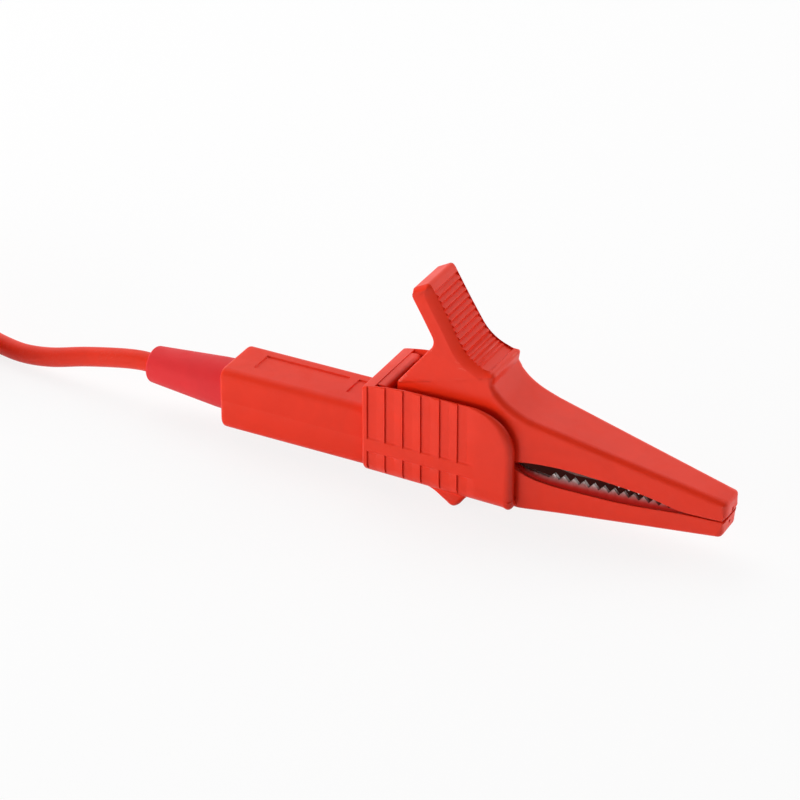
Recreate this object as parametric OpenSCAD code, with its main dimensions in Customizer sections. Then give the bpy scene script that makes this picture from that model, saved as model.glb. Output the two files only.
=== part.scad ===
// Test lead: a 4 mm safety plug on each end of a flexible lead, with a push-on crocodile clip.
// Built in a frame whose x axis is the axis of the plug and clip, with z = 0 where the lead rests.

/* [Plug housing] */
// Width of the rectangular plug housing
plug_w = 12.6; // [11:0.1:14]
// Height of the plug housing
plug_h = 13; // [11.6:0.1:13.2]
// Length of the plug housing
plug_len = 32.3; // [28:0.1:40]
// Rounding of the housing's long edges
plug_edge_r = 1.6; // [0.4:0.1:2.2]
// Length of the flat window on top of the housing
window_len = 17; // [8:0.5:19]
// Width of the flat window
window_w = 6.4; // [3:0.1:8]
// Depth of the window
window_depth = 0.3; // [0.1:0.05:0.6]

/* [Plug contact] */
// Diameter of the contact pin
pin_d = 4; // [3.8:0.1:4.2]
// Length of the contact pin
pin_len = 19; // [17:0.5:21]
// Length of the fixed sheath around the pin
sheath_len = 20.5; // [19:0.5:22]
// Wall of the sheath
sheath_wall = 0.8; // [0.6:0.05:0.9]
// Air gap between the sheath and the socket inside it
sheath_gap = 0.3; // [0.2:0.05:0.5]
// Length of the spring cage on the pin
cage_len = 9; // [6:0.5:10]
// Outer diameter of the crimp barrel
crimp_d = 3.8; // [3:0.1:4.4]
// Length of the crimp barrel
crimp_len = 8; // [6:0.5:10]

/* [Boot] */
// Length of the bend relief boot outside the housing
boot_len = 18.5; // [12:0.5:26]
// Diameter of the boot at the housing
boot_big_d = 10.3; // [8.6:0.1:11.4]
// Diameter of the boot at the cord end
boot_small_d = 7.3; // [6:0.1:8.4]

/* [Cord] */
// Outer diameter of the cord
cord_d = 4; // [3:0.1:4.4]
// Diameter of the stranded copper conductor
copper_d = 1.5; // [1:0.1:2]
// Length of the straight runs of the tied hank
hank_run = 56; // [44:1:60]
// Mean width of the hank, from one run to the other
hank_fold = 20; // [18:0.5:22]
// Layers of cord in the hank
hank_layers = 4; // [2:1:5]

/* [Clip collar] */
// Length of the clip from the back of the collar to the jaw tip
clip_len = 72; // [66:0.5:80]
// Length of the collar
collar_len = 31.3; // [30:0.1:34]
// Width over the collar
collar_w = 17.2; // [17:0.1:19]
// Height of the collar's top edge above the plug axis
collar_top = 14; // [13:0.1:15]
// Height of the collar's top edge at its back
collar_back_top = 12.6; // [11.8:0.1:13]
// Depth of the collar below the plug axis
collar_drop = 6.5; // [6.3:0.1:7.5]
// Wall of both covers
cover_wall = 1.5; // [1.2:0.05:1.7]
// Rounding of the collar's bottom edges
collar_edge_r = 2.4; // [1:0.1:3]
// Rounding of the collar's upright edges
collar_post_r = 0.55; // [0.2:0.05:0.8]
// Distance from the plug axis down to the finger stop's lowest point
stop_drop = 8.7; // [8:0.1:10]
// Number of grip grooves on each side
groove_count = 6; // [4:1:6]
// Spacing of the grip grooves
groove_pitch = 3.8; // [3.2:0.1:4]
// Depth of the grip grooves
groove_depth = 0.4; // [0.2:0.05:0.6]

/* [Jaws] */
// Width of the jaws where they leave the collar
jaw_w = 12.4; // [12:0.1:12.8]
// Width of the jaws at the tip
tip_w = 6.4; // [5.6:0.1:7.4]
// Height of the upper jaw's tip above the parting line
tip_top = 3.9; // [3.2:0.1:5]
// Depth of the lower jaw's tip below the parting line
tip_drop = 3.6; // [3:0.1:4.4]
// Height of the parting line between the jaw tips above the plug axis
parting_z = 0.4; // [0:0.1:1]
// Gap between the closed jaws at the tip
parting_gap = 0.3; // [0.3:0.05:0.6]
// Largest height of the plastic mouth above the parting line
mouth_up = 3.7; // [3:0.1:4.2]
// Rounding of the long edges of the upper jaw and lever
jaw_edge_r = 1.3; // [0.6:0.1:1.6]
// Largest depth of the plastic mouth below the parting line
mouth_down = 1.2; // [0.8:0.1:1.6]
// Radius of the dimple in the end face of each jaw
dimple_r = 0.4; // [0.2:0.05:0.6]
// Depth of the dimples
dimple_depth = 0.4; // [0.2:0.05:0.6]

/* [Metal jaws] */
// Sheet thickness of the metal jaws
sheet = 0.7; // [0.5:0.05:0.8]
// Spacing of the teeth
tooth_pitch = 1.95; // [1.6:0.05:2.05]
// Height of the teeth
tooth_h = 1.1; // [0.6:0.1:1.3]
// Number of teeth on each edge of the lower metal jaw
tooth_count = 17; // [12:1:17]
// Number of teeth on each edge of the upper metal jaw
upper_teeth = 12; // [8:1:12]
// How far the lower teeth climb from the tip back to the first one
lower_climb = 1.1; // [0.8:0.1:1.2]
// How far the upper teeth climb from the tip back to the first one
upper_climb = 2.5; // [2:0.1:2.8]

/* [Pivot and spring] */
// Pivot's distance from the back of the collar
pivot_x = 24; // [23.4:0.1:24.6]
// Pivot's height above the plug axis
pivot_z = 9; // [8.8:0.1:9.4]
// Diameter of the pivot pin
pivot_d = 2.4; // [2:0.1:2.6]
// Diameter of the spring wire
wire_d = 0.9; // [0.6:0.05:1]
// Turns of the spring
spring_turns = 4; // [3:1:5]
// Length of the spring's leg on the barrel, back from the pivot
spring_leg = 12; // [8:0.5:14]

/* [Lever] */
// Height of the lever's top above the plug axis
lever_top = 34.8; // [33:0.1:37]
// Distance of the lever's top front corner from the back of the collar
lever_x = 12.9; // [12:0.1:13.6]
// Thickness of the lever, front to back
lever_thick = 4.8; // [4.4:0.1:5.4]
// Number of ribs on the lever's pad
rib_count = 14; // [8:1:15]
// Spacing of the ribs
rib_pitch = 1.25; // [1:0.05:1.3]
// Height of the ribs
rib_h = 0.4; // [0.2:0.05:0.5]
// Length of the ribs across the lever
pad_w = 9.6; // [7:0.1:10.4]
// Slope of the lever's pad from upright, in degrees
lever_lean = 30; // [24:1:34]
// Radius of the hollow between the pad and its lip
pad_r = 10; // [7:0.5:12]

/* [Hidden] */

red = "#d8332a";
crimson = "#c22f3d";
$fn = 48;
// Running clearance of a pin in its hole
run = 0.05;
// Clearance between pieces that are fixed to each other
seat = 0.05;
// Clearance between pieces that move past each other
gap = 0.3;
// Overcut past a face
cut = 1;

// Plug, with x = 0 at the housing's front face and the pin towards +x
pin_r = pin_d / 2;
cord_r = cord_d / 2;
socket_bore_r = pin_r + 0.03;
socket_wall = 0.97;
socket_r = socket_bore_r + socket_wall;
stub_r = 1.5;
sheath_in_r = socket_r + sheath_gap;
sheath_r = sheath_in_r + sheath_wall;
carrier_r = 2.6;
carrier_len = 12;
boot_nose_r = cord_r + 1.3;
boot_nose_len = 5;
crimp_end = carrier_len + crimp_len;

// Clip, with x = 0 at the collar's back face and z = 0 on the plug axis
rear_end = gap + plug_len + boot_len;
axis_x = (rear_end - clip_len) / 2;
axis_z = stop_drop;
barrel_bore_r = sheath_r + gap;
barrel_wall = 1.1;
barrel_r = barrel_bore_r + barrel_wall;
bush_x = sheath_len + gap * 1.4;
bush_len = pivot_x - bush_x;
floor_z = -collar_drop + cover_wall;
cheek_half = jaw_w / 2;
collar_in = collar_w / 2 - cover_wall;
taper_x = collar_len + 1;
pivot_r = pivot_d / 2;
pivot_half = collar_in + cover_wall / 2;

// Back wall of the collar, the bridge over it with its step, and where the finger stop's nose is
back_wall = 2;
bridge_len = 4.6;
step_x = 2.7;
stop_x = 18.5;
// Back edge of the cheeks, and where the upper jaw's straight top begins, with its slope
cheek_x = bridge_len + 1.8;
jaw_x = collar_len + 3.2;
jaw_slope = 0.22;
// Round corners of the jaw tips in plan, and how far the lower tip stays behind the upper one
tip_corner = 1.2;
tip_inset = 0.5;
// Distance of the jaws' dimples from the parting line
dimple_off = 1.25;
// Mouth of the plastic jaws, at stations between the collar and the closed tips
mouth_x = 31;
mouth_end = 63;

// Metal channels, inside the covers
metal_gap = 0.15;
metal_half = cheek_half - cover_wall - metal_gap;
metal_tip_half = tip_w / 2 - cover_wall - metal_gap;
metal_end = clip_len - cover_wall - metal_gap;
lower_ear_half = metal_half - sheet - gap;
// Plain end of the toothed edges at the tip, and how far the points reach past the parting line there
metal_nose = 0.2;
tooth_bite = 0.35;
teeth_x = metal_end - metal_nose - tooth_count * tooth_pitch;
upper_teeth_x = metal_end - metal_nose - upper_teeth * tooth_pitch;
ear_r = 2.7;

// Spring on the pivot, with one leg on the barrel and one inside the lever: room between the pin and the
// coil, between two turns, and between the upper leg's end and the knee of the lever's pad
coil_room = 0.25;
turn_room = 0.1;
leg_stop = 1.7;
coil_r = pivot_r + coil_room + wire_d / 2;
spring_half = spring_turns * (wire_d + turn_room) / 2;

// Hank of the stored cord, two cords wide, with a tie under and round it, and the far plug beside it.
// hank_at is the middle of the fold nearest the near plug.
hank_at = [-118, -5.4];
hank_lift = 0.5;
hank_out = (hank_fold + cord_d) / 2;
hank_top = hank_lift + (hank_layers - 0.5) * cord_d;
tie_w = 6;
tie_wall = 0.4;
far_at = [-118, -27, plug_h / 2];

// Route of the cord's middle from the near boot to the hank, then from the hank to the far boot
near_route = [
    [axis_x - rear_end, 0, axis_z], [-65, 0, 8.6], [-70, 0, 7.8], [-78, 0, 6], [-86, 0, 3.8],
    [-93, 0.6, 2.6], [-100, 2.4, 2.1], [-106, 4.5, 2.1], [-112, 6.1, 2.3],
    [hank_at[0], hank_at[1] + hank_out, hank_lift + cord_r]];
far_route = [
    [hank_at[0] - hank_run - hank_out, hank_at[1], hank_top],
    [-186, -8.7, hank_top], [-186, -12, hank_top - 0.25], [-184.9, -17.5, hank_top * 0.88],
    [-181.6, -22.6, hank_top / 2 + 3], [-176.5, -26, 8.1], [-171.5, -27, 6.8],
    [far_at[0] - plug_len - boot_len, far_at[1], far_at[2]]];

// Points of an arc about a centre, from one angle to another
function arc(c, r, a0, a1, n = 8) =
    [for (i = [0:n]) let (a = a0 + (a1 - a0) * i / n) c + r * [cos(a), sin(a)]];
// Points of a smooth bend from p0 to p2 that leaves and arrives along the lines to p1
function bend(p0, p1, p2, n = 8) =
    [for (i = [0:n]) let (t = i / n) (1 - t) * (1 - t) * p0 + 2 * t * (1 - t) * p1 + t * t * p2];
// Rounded rectangle centred on c
function rounded(c, w, h, r) = concat(
    arc(c + [w / 2 - r, h / 2 - r], r, 0, 90, 6), arc(c + [r - w / 2, h / 2 - r], r, 90, 180, 6),
    arc(c + [r - w / 2, r - h / 2], r, 180, 270, 6), arc(c + [w / 2 - r, r - h / 2], r, 270, 360, 6));
// Point of a line of points at a length along it
function at_length(p, s, k = 0) = let (d = norm(p[k + 1] - p[k]))
    s <= d || k == len(p) - 2 ? p[k] + (p[k + 1] - p[k]) * s / d : at_length(p, s - d, k + 1);
// Point of a Catmull-Rom curve through the points, at the fraction f of segment k
function on_curve(p, k, f) =
    let (n = len(p) - 1, a = p[max(k - 1, 0)], b = p[k], c = p[min(k + 1, n)], d = p[min(k + 2, n)])
    0.5 * (2 * b + (c - a) * f + (2 * a - 5 * b + 4 * c - d) * f * f
        + (3 * b - a - 3 * c + d) * f * f * f);
function smooth(p, steps) = concat(
    [for (k = [0:len(p) - 2]) for (s = [0:steps - 1]) on_curve(p, k, s / steps)], [p[len(p) - 1]]);

// Extrusion of an x-z outline to both sides of the middle plane
module sideways(outline, half) {
    rotate([90, 0, 0]) linear_extrude(2 * half, center = true) polygon(outline);
}
// Extrusion of a y-z outline along x
module lengthways(outline, x0, x1) {
    translate([x0, 0, 0]) rotate([90, 0, 90]) linear_extrude(x1 - x0) polygon(outline);
}
// Extrusion of an x-y outline along z
module upright(outline, z0, z1) {
    translate([0, 0, z0]) linear_extrude(z1 - z0) polygon(outline);
}
function reversed(p) = [for (i = [len(p) - 1:-1:0]) p[i]];
// Outline on both sides of the x axis from its half widths
function both_sides(half) = concat(half, [for (p = reversed(half)) [p[0], -p[1]]]);
// Cylinder along x
module rod(x0, x1, r) {
    translate([x0, 0, 0]) rotate([0, 90, 0]) cylinder(r = r, h = x1 - x0);
}
// Cylinder along y through the pivot
module across(half, r) {
    translate([pivot_x, 0, pivot_z]) rotate([90, 0, 0]) cylinder(r = r, h = 2 * half, center = true);
}
// Solid turned about the x axis from points [x, radius]
module turned(profile) {
    rotate([0, 90, 0]) rotate_extrude() polygon([for (p = profile) [p[1], p[0]]]);
}
// Tube swept along a line of points, with flat ends square to the given directions
module swept(points, r, sides, start, finish, level) {
    n = len(points) - 1;
    function way(i) = i == 0 ? start : i == n ? finish : points[i + 1] - points[i - 1];
    function ring(i) =
        let (t = way(i) / norm(way(i)), s = cross(level, t) / norm(cross(level, t)), v = cross(t, s))
        [for (j = [0:sides - 1]) points[i] + r * (cos(360 * j / sides) * s + sin(360 * j / sides) * v)];
    polyhedron(
        points = [for (i = [0:n]) each ring(i)],
        faces = concat(
            [[for (j = [0:sides - 1]) j]],
            [for (i = [0:n - 1]) for (j = [0:sides - 1])
                let (a = i * sides + j, b = i * sides + (j + 1) % sides) [a, a + sides, b + sides, b]],
            [[for (j = [0:sides - 1]) n * sides + sides - 1 - j]]));
}

module on_clip() {
    translate([axis_x, 0, axis_z]) children();
}
module on_near_plug() {
    on_clip() translate([-gap, 0, 0]) children();
}
module on_far_plug() {
    translate(far_at) children();
}

// Housing of a plug: a rounded box with the sheath in one moulding, window on top, pocket for the boot
module plug_housing() color(red) {
    back = -plug_len;
    window_x = back + 6.6;
    difference() {
        union() {
            intersection() {
                lengthways(rounded([0, 0], plug_w, plug_h, plug_edge_r), back, 0);
                sideways(rounded([back / 2, 0], plug_len, plug_h, 1), plug_w);
                upright(rounded([back / 2, 0], plug_len, plug_w, 1), -plug_h, plug_h);
            }
            rod(-cut, sheath_len, sheath_r);
        }
        rod(0, sheath_len + cut, sheath_in_r);
        rod(-carrier_len - seat, cut, carrier_r + seat);
        rod(-crimp_end - seat, -carrier_len, crimp_d / 2 + seat);
        rod(back - cut, -crimp_end, cord_r + seat);
        rod(back - cut, back + boot_nose_len + seat, boot_nose_r + seat);
        translate([window_x, -window_w / 2, plug_h / 2 - window_depth])
            cube([window_len, window_w, window_depth + cut]);
        translate([window_x + window_len + 1.6, -window_w / 2, plug_h / 2 - window_depth])
            cube([4.4, window_w, window_depth + cut]);
    }
}
// Soft boot that keeps the cord from kinking, with a nose in the housing's pocket
module plug_boot() color(crimson) {
    face = -plug_len - seat;
    tail = -plug_len - boot_len;
    rim = 0.8;
    bore = cord_r + seat;
    turned(concat(
        [[tail, bore], [tail, boot_small_d / 2 - rim]],
        arc([tail + rim, boot_small_d / 2 - rim], rim, 180, 90, 5),
        [[face, boot_big_d / 2], [face, boot_nose_r], [face + boot_nose_len, boot_nose_r],
            [face + boot_nose_len, bore]]));
}
// Turned contact: carrier, pin with a groove for the spring cage, crimp barrel
module plug_contact() color("goldenrod") {
    groove_r = pin_r - 0.3;
    groove_x = (pin_len - cage_len) / 2;
    nose = 1.2;
    turned(concat(
        [[-crimp_end, copper_d / 2 + seat], [-crimp_end, crimp_d / 2], [-carrier_len, crimp_d / 2],
            [-carrier_len, carrier_r], [0, carrier_r], [0, pin_r], [groove_x, pin_r],
            [groove_x, groove_r], [groove_x + cage_len, groove_r], [groove_x + cage_len, pin_r]],
        arc([pin_len - nose, pin_r - nose], nose, 90, 0, 6),
        [[pin_len, 0], [1 - carrier_len, 0], [1 - carrier_len, copper_d / 2 + seat]]));
}
// Spring cage in the pin's groove, with slots between its strips
module plug_cage() color("gold") {
    groove_x = (pin_len - cage_len) / 2;
    rim = 1;
    slot = 0.3;
    difference() {
        rod(groove_x + seat, groove_x + cage_len - seat, pin_r - 0.02);
        rod(groove_x, groove_x + cage_len, pin_r - 0.27);
        for (a = [22.5:60:322.5]) rotate([a, 0, 0])
            translate([groove_x + rim, -slot / 2, pin_r / 2]) cube([cage_len - 2 * rim, slot, pin_r]);
    }
}
// Bare end of the conductor in the crimp barrel
module plug_conductor() color("#b87333") {
    rod(-crimp_end - 1, -carrier_len + 0.5, copper_d / 2);
}
// Insulated end of the cord, from the boot's tail to the crimp barrel
module plug_cable() color(red) {
    difference() {
        rod(-plug_len - boot_len, -crimp_end - seat, cord_r);
        rod(-crimp_end - 1 - seat, -crimp_end, copper_d / 2 + seat);
    }
}

// Outline of the collar seen from the side, with a round shoulder at the front
function collar_side() = let (r = collar_top - 5.5) concat(
    [[0, -collar_drop + 1], [0.6, -collar_drop + 0.5], [collar_len, -collar_drop]],
    arc([collar_len - r, 5.5], r, 0, 90, 10),
    [[8.6, collar_top - 0.15], [5, collar_top - 0.45], [0, collar_back_top]]);
// Section of the collar from behind
function collar_section() = let (w = collar_w / 2, r = collar_edge_r) concat(
    [[-w, lever_top]], arc([r - w, r - collar_drop], r, 180, 270, 6),
    arc([w - r, r - collar_drop], r, 270, 360, 6), [[w, lever_top]]);
// Half plan of the room in a jaw, from a station to the tip's wall
function jaw_inner(x, inset) = [
    [x, cheek_half - inset], [taper_x, cheek_half - inset], [clip_len - inset, tip_w / 2 - inset]];
// Bottom line of the lower jaw, and the mouth's lower edge
function lower_bottom(x) = let (t = (x - collar_len) / (clip_len - collar_len))
    -collar_drop + t * (collar_drop + parting_z - tip_drop);
function mouth_low() = concat(
    bend([mouth_x - 4, parting_z + 2.6], [mouth_x + 3, parting_z - mouth_down * 0.9],
        [mouth_x + 14, parting_z - mouth_down], 6),
    bend([mouth_x + 20, parting_z - mouth_down], [mouth_x + 26, parting_z - mouth_down * 0.8],
        [mouth_end, parting_z - parting_gap / 2], 5),
    [[clip_len + cut, parting_z - parting_gap / 2]]);
function mouth_high() = concat(
    [[mouth_x - 4, parting_z + 2.8]],
    bend([mouth_x + 1, parting_z + 3.1], [mouth_x + 9, parting_z + mouth_up + 0.3],
        [mouth_x + 19, parting_z + mouth_up * 0.8], 6),
    bend([mouth_x + 24, parting_z + mouth_up * 0.6], [mouth_end - 2, parting_z + 0.4],
        [mouth_end + 1, parting_z + parting_gap / 2], 5),
    [[clip_len + cut, parting_z + parting_gap / 2]]);

// Lower cover: collar with grip grooves, barrel for the plug's sheath, finger stop and lower jaw
module lower_cover() color(red) {
    difference() {
        union() {
            difference() {
                union() {
                    collar_block();
                    lower_jaw_block();
                }
                collar_room();
                lower_jaw_room();
                grip_grooves();
                wall_tops();
                tip_dimple(clip_len - tip_inset, parting_z - dimple_off);
            }
            intersection() {
                rod(0, pivot_x, barrel_r);
                lengthways(collar_section(), 0, collar_len);
            }
            finger_stop();
        }
        rod(-cut, pivot_x + cut, barrel_bore_r);
        across(pivot_half + seat, pivot_r + run);
    }
}
module collar_block() {
    intersection() {
        lengthways(collar_section(), 0, collar_len);
        sideways(collar_side(), collar_w);
        upright(rounded([collar_len / 2, 0], collar_len, collar_w, collar_post_r), -stop_drop, lever_top);
    }
}
// Room inside the collar: behind the bridge, under it, and forward between the walls for the cheeks
module collar_room() {
    front = collar_len - cover_wall;
    translate([back_wall, -collar_in, floor_z])
        cube([front - back_wall, 2 * collar_in, collar_back_top - cover_wall - floor_z]);
    translate([bridge_len, -collar_in, floor_z])
        cube([front - bridge_len, 2 * collar_in, lever_top]);
    translate([pivot_x, -collar_in, parting_z + 2])
        cube([clip_len, 2 * collar_in, lever_top]);
}
// Inner edges of the collar's wall tops, cut so that the tops slope inwards, and the bridge's step
module wall_tops() {
    fall = 1.1;
    for (side = [0, 1]) mirror([0, side, 0])
        lengthways([[collar_in - cut, collar_top - fall - cut], [collar_in, collar_top - fall],
            [collar_w / 2 - 0.3, collar_top], [collar_w / 2 - 0.3, collar_top + cut],
            [collar_in - cut, collar_top + cut]], bridge_len, collar_len - cover_wall);
    translate([step_x, -collar_in, collar_back_top])
        cube([bridge_len - step_x + cut, 2 * collar_in, collar_top]);
}
module lower_jaw_block() {
    nose = clip_len - tip_inset;
    bend_x = nose - tip_corner;
    intersection() {
        sideways(concat([[mouth_x - 4, -collar_drop], [collar_len, -collar_drop]],
            arc([bend_x, lower_bottom(bend_x) + tip_corner], tip_corner, -85, 0, 5),
            [[nose, lever_top], [mouth_x - 4, lever_top]]), collar_w);
        sideways(concat(mouth_low(), [[clip_len + cut, -stop_drop], [mouth_x - 4, -stop_drop]]),
            collar_w);
        upright(both_sides(jaw_outer(mouth_x - 4)), -collar_drop, lever_top);
    }
}
module lower_jaw_room() {
    intersection() {
        upright(both_sides(jaw_inner(mouth_x - 4, cover_wall)), -collar_drop, lever_top);
        sideways([[mouth_x - 5, floor_z], [collar_len, floor_z],
            [clip_len, lower_bottom(clip_len) + cover_wall], [clip_len, lever_top],
            [mouth_x - 5, lever_top]], collar_w);
    }
}
// Finger stop under the collar: a ramp up to a round nose, and a steeper front
module finger_stop() {
    nose = 0.9;
    half = collar_w / 2 - 1.4;
    intersection() {
        sideways(concat([[stop_x - 8, cover_wall - collar_drop]],
            bend([stop_x - 8, 0.2 - collar_drop], [stop_x - 2.6, -collar_drop],
                [stop_x - nose, nose / 2 - stop_drop], 6),
            arc([stop_x, nose - stop_drop], nose, 215, 330, 6),
            [[stop_x + 2.6, -collar_drop], [stop_x + 2.6, cover_wall - collar_drop]]), half);
        lengthways(rounded([0, 0], 2 * half, 2 * stop_drop, 2), 0, collar_len);
    }
}
// Cut of the dimple in a jaw's end face at a station
module tip_dimple(x, z) {
    translate([0, 0, z]) rod(x - dimple_depth, x + cut, dimple_r);
}
// Half plan of a jaw, from a station to the round corners of its tip
function jaw_outer(x) = concat([[x, cheek_half], [taper_x, cheek_half]],
    arc([clip_len - tip_corner, tip_w / 2 - tip_corner + 0.1], tip_corner, 85, 0, 5));
// Grooves on both sides of the collar, in an upper and a lower row, each a ramp against a step
module grip_grooves() {
    land = 1.3;
    for (side = [-1, 1]) for (i = [0:groove_count - 1]) for (row = [[1.6, lever_top], [-4.4, -0.9]])
        translate([1.2 + i * groove_pitch, side * collar_w / 2, 0])
            upright([[0, 0], [0, -side * groove_depth], [groove_pitch - land, 0], [0, side * cut]],
                row[0], row[0] > 0 ? collar_top - 1.2 - (i == 0 ? 0.9 : 0) : row[1]);
}

// Outline of the upper cover from the side: cheeks, lever, lip and jaw
pad_way = [sin(lever_lean), -cos(lever_lean)];
pad_out = [cos(lever_lean), sin(lever_lean)];
pad_turn = 90 - lever_lean - 7;
lip = [lever_x + 12.8, lever_top - 14.3];
pad_mid = lip + pad_r * [sin(7), cos(7)];
knee = pad_mid - pad_r * pad_out;
pad_edge_len = (lever_top - knee[1]) / cos(lever_lean);
pad_top = knee - pad_edge_len * pad_way;
function pad_line() = concat([pad_top],
    arc(pad_mid, pad_r, 180 + lever_lean, 180 + lever_lean + pad_turn, 8));
// Inner side of the pad's line, at a depth under it
function under_pad(depth) = arc(pad_mid, pad_r + depth, 180 + lever_lean, 172 + lever_lean + pad_turn, 8);
// Line under the lip and the jaw's top, at a depth under them
function under_lip(depth) = [
    lip + [-depth * 0.67, -depth - 0.2], lip + [-depth * 0.47, -depth - 3],
    lip + [4.2, -depth - 6.8], [jaw_x, top_at(jaw_x) - depth]];
function jaw_top_line() = concat(
    arc(lip + [-0.2, -0.8], 0.7, 80, 0, 4),
    bend(lip + [0.5, -2], lip + [0.9, -4.6], lip + [4.7, -6.6], 6),
    [[jaw_x, top_at(jaw_x)], [clip_len - tip_corner, top_at(clip_len - tip_corner)]],
    arc([clip_len - tip_corner, top_at(clip_len) - tip_corner], tip_corner, 70, 0, 4));
function top_at(x) = parting_z + tip_top + (clip_len - x) * jaw_slope;
function jaw_half(x) = tip_w / 2 + (cheek_half - tip_w / 2) * (clip_len - x) / (clip_len - taper_x);
// Back of the cheeks and lever, from the pivot up to the lever's top
function upper_back() = let (back = lever_x - lever_thick + 1) [
    [pivot_x, parting_z + 2.6], [cheek_x - 0.2, pivot_z + 1.8], [cheek_x, collar_top],
    [cheek_x + 0.6, collar_top + 0.9], [lever_x + 0.2, lever_top - 12.6], [lever_x + 0.8, lever_top - 11],
    [lever_x + 0.6, lever_top - 9.5], [back + 0.1, lever_top - 2.3], [back, lever_top - 1.3],
    [back + 0.6, lever_top - 0.5], [lever_x - 1.2, lever_top + 0.7], [lever_x - 0.4, lever_top + 0.6]];

// Upper cover: cheeks, lever with a ribbed pad, and upper jaw, hollow from below and behind
module upper_cover() color(red) {
    difference() {
        intersection() {
            sideways(concat(upper_back(), pad_line(), jaw_top_line(), reversed(mouth_high())), collar_w);
            upright(both_sides(jaw_outer(0)), -cut, lever_top + 5);
        }
        upper_room();
        upper_edges();
        tip_dimple(clip_len, parting_z + dimple_off);
        across(cheek_half + cut, pivot_r + run);
        for (i = [0:rib_count]) {
            p = at_length(pad_line(), 2.4 + i * rib_pitch);
            translate([p[0], 0, p[1]]) rotate([90, 0, 0]) cylinder(r = rib_h, h = pad_w, center = true);
        }
    }
}
// Room for the metal jaw, the spring and the lever's tongue
module upper_room() {
    nose = clip_len - cover_wall;
    intersection() {
        upright(both_sides(jaw_inner(0, cover_wall)), -cut, lever_top + 5);
        sideways(concat([[cheek_x - 5, -cut], [cheek_x - 5, lever_top - 13.8],
            [lever_x - lever_thick - 1, lever_top - 3],
            pad_top + 1.2 * pad_way - (cover_wall + 1) * pad_out,
            pad_top + 1.6 * pad_way - cover_wall * pad_out], under_pad(cover_wall), under_lip(cover_wall),
            [[nose, top_at(clip_len) - 1.2], [nose, -cut]]), collar_w);
    }
}
// Rounding of the long edges of the pad and of the jaw's top
module upper_edges() {
    lean = atan(jaw_slope);
    turn = atan((cheek_half - tip_w / 2) / (clip_len - taper_x));
    for (side = [0, 1]) mirror([0, side, 0]) {
        translate([pad_top[0], -cheek_half, pad_top[1]]) rotate([0, 90 - lever_lean, 0])
            translate([-2 * cut, 0, 0]) edge_cut(pad_edge_len + 2 * cut + 0.3);
        translate([pad_mid[0], 0, pad_mid[1]]) rotate([90, 0, 0])
            rotate([0, 0, 178 + lever_lean]) rotate_extrude(angle = pad_turn + 6)
                translate([pad_r, cheek_half]) mirror([0, 1]) edge_shape(0.02);
        translate([jaw_x, -jaw_half(jaw_x), top_at(jaw_x)]) rotate([0, lean, turn])
            edge_cut(clip_len);
    }
}
// Section of an edge's cut: what lies outside the rounding of a corner at the origin
module edge_shape(deeper = 0) {
    mid = jaw_edge_r - 0.05 + deeper;
    difference() {
        translate([-cut, -cut]) square(mid + cut);
        translate([mid, mid]) circle(jaw_edge_r);
    }
}
// Cut along an edge that runs forward from the origin, with the body on its inner and lower side
module edge_cut(length) {
    rotate([90, 0, 90]) linear_extrude(length) mirror([0, 1]) edge_shape();
}

// Toothed edge of a metal jaw from the tip back, pointing up (1) or down (-1). The line of the points
// climbs from the parting line, and the upper points stand over the lower valleys.
function teeth(count, up, climb, power) = [for (i = [0:2 * count])
    let (back = i / (2 * count), points = parting_z + up * tooth_bite + climb * pow(back, power))
    [metal_end - metal_nose - i * tooth_pitch / 2, points - ((i % 2 == 1) == (up > 0) ? 0 : up * tooth_h)]];

// Lower metal jaw: a channel with teeth, ears on the pivot pin and a tab riveted to the socket
module lower_jaw() color("silver") {
    base = floor_z + metal_gap;
    web_end = lower_bottom(clip_len) + cover_wall + metal_gap;
    tab_x = pivot_x + 0.3;
    ear_top = barrel_r + 0.2;
    inner = lower_ear_half - sheet;
    difference() {
        intersection() {
            union() {
                sideways(concat([[tab_x, base], [collar_len, base], [metal_end, web_end]],
                    teeth(tooth_count, 1, lower_climb, 1.5),
                    [[(teeth_x + collar_len) / 2 - 1.75, parting_z + 1.2],
                        [collar_len - 2.3, parting_z + 2.2], [pivot_x + 2.5, pivot_z - 0.4],
                        [tab_x, ear_top + 1.1]]), collar_w);
                across(lower_ear_half, ear_r);
            }
            upright(both_sides([[pivot_x - 4, lower_ear_half], [taper_x - 4.3, lower_ear_half],
                [taper_x, metal_half - 0.2], [metal_end, metal_tip_half]]), -collar_drop, collar_top);
        }
        // Inside of the channel, above its web and in front of the back tab
        intersection() {
            sideways([[tab_x + sheet, base + sheet], [collar_len, base + sheet],
                [clip_len, web_end + sheet], [clip_len, collar_top], [pivot_x - 5, collar_top],
                [pivot_x - 5, ear_top], [tab_x - 0.01, ear_top], [tab_x - 0.01, socket_r + 0.3],
                [tab_x + sheet, socket_r + 0.3]], collar_w);
            upright(both_sides([[pivot_x - 5, inner], [taper_x - 4.3, inner],
                [taper_x, metal_half - 0.2 - sheet], [clip_len, metal_tip_half - sheet]]),
                -collar_drop, collar_top + cut);
        }
        across(collar_w, pivot_r + run);
        rod(pivot_x - cut, tab_x + sheet + 0.2, stub_r + seat);
    }
}
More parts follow.
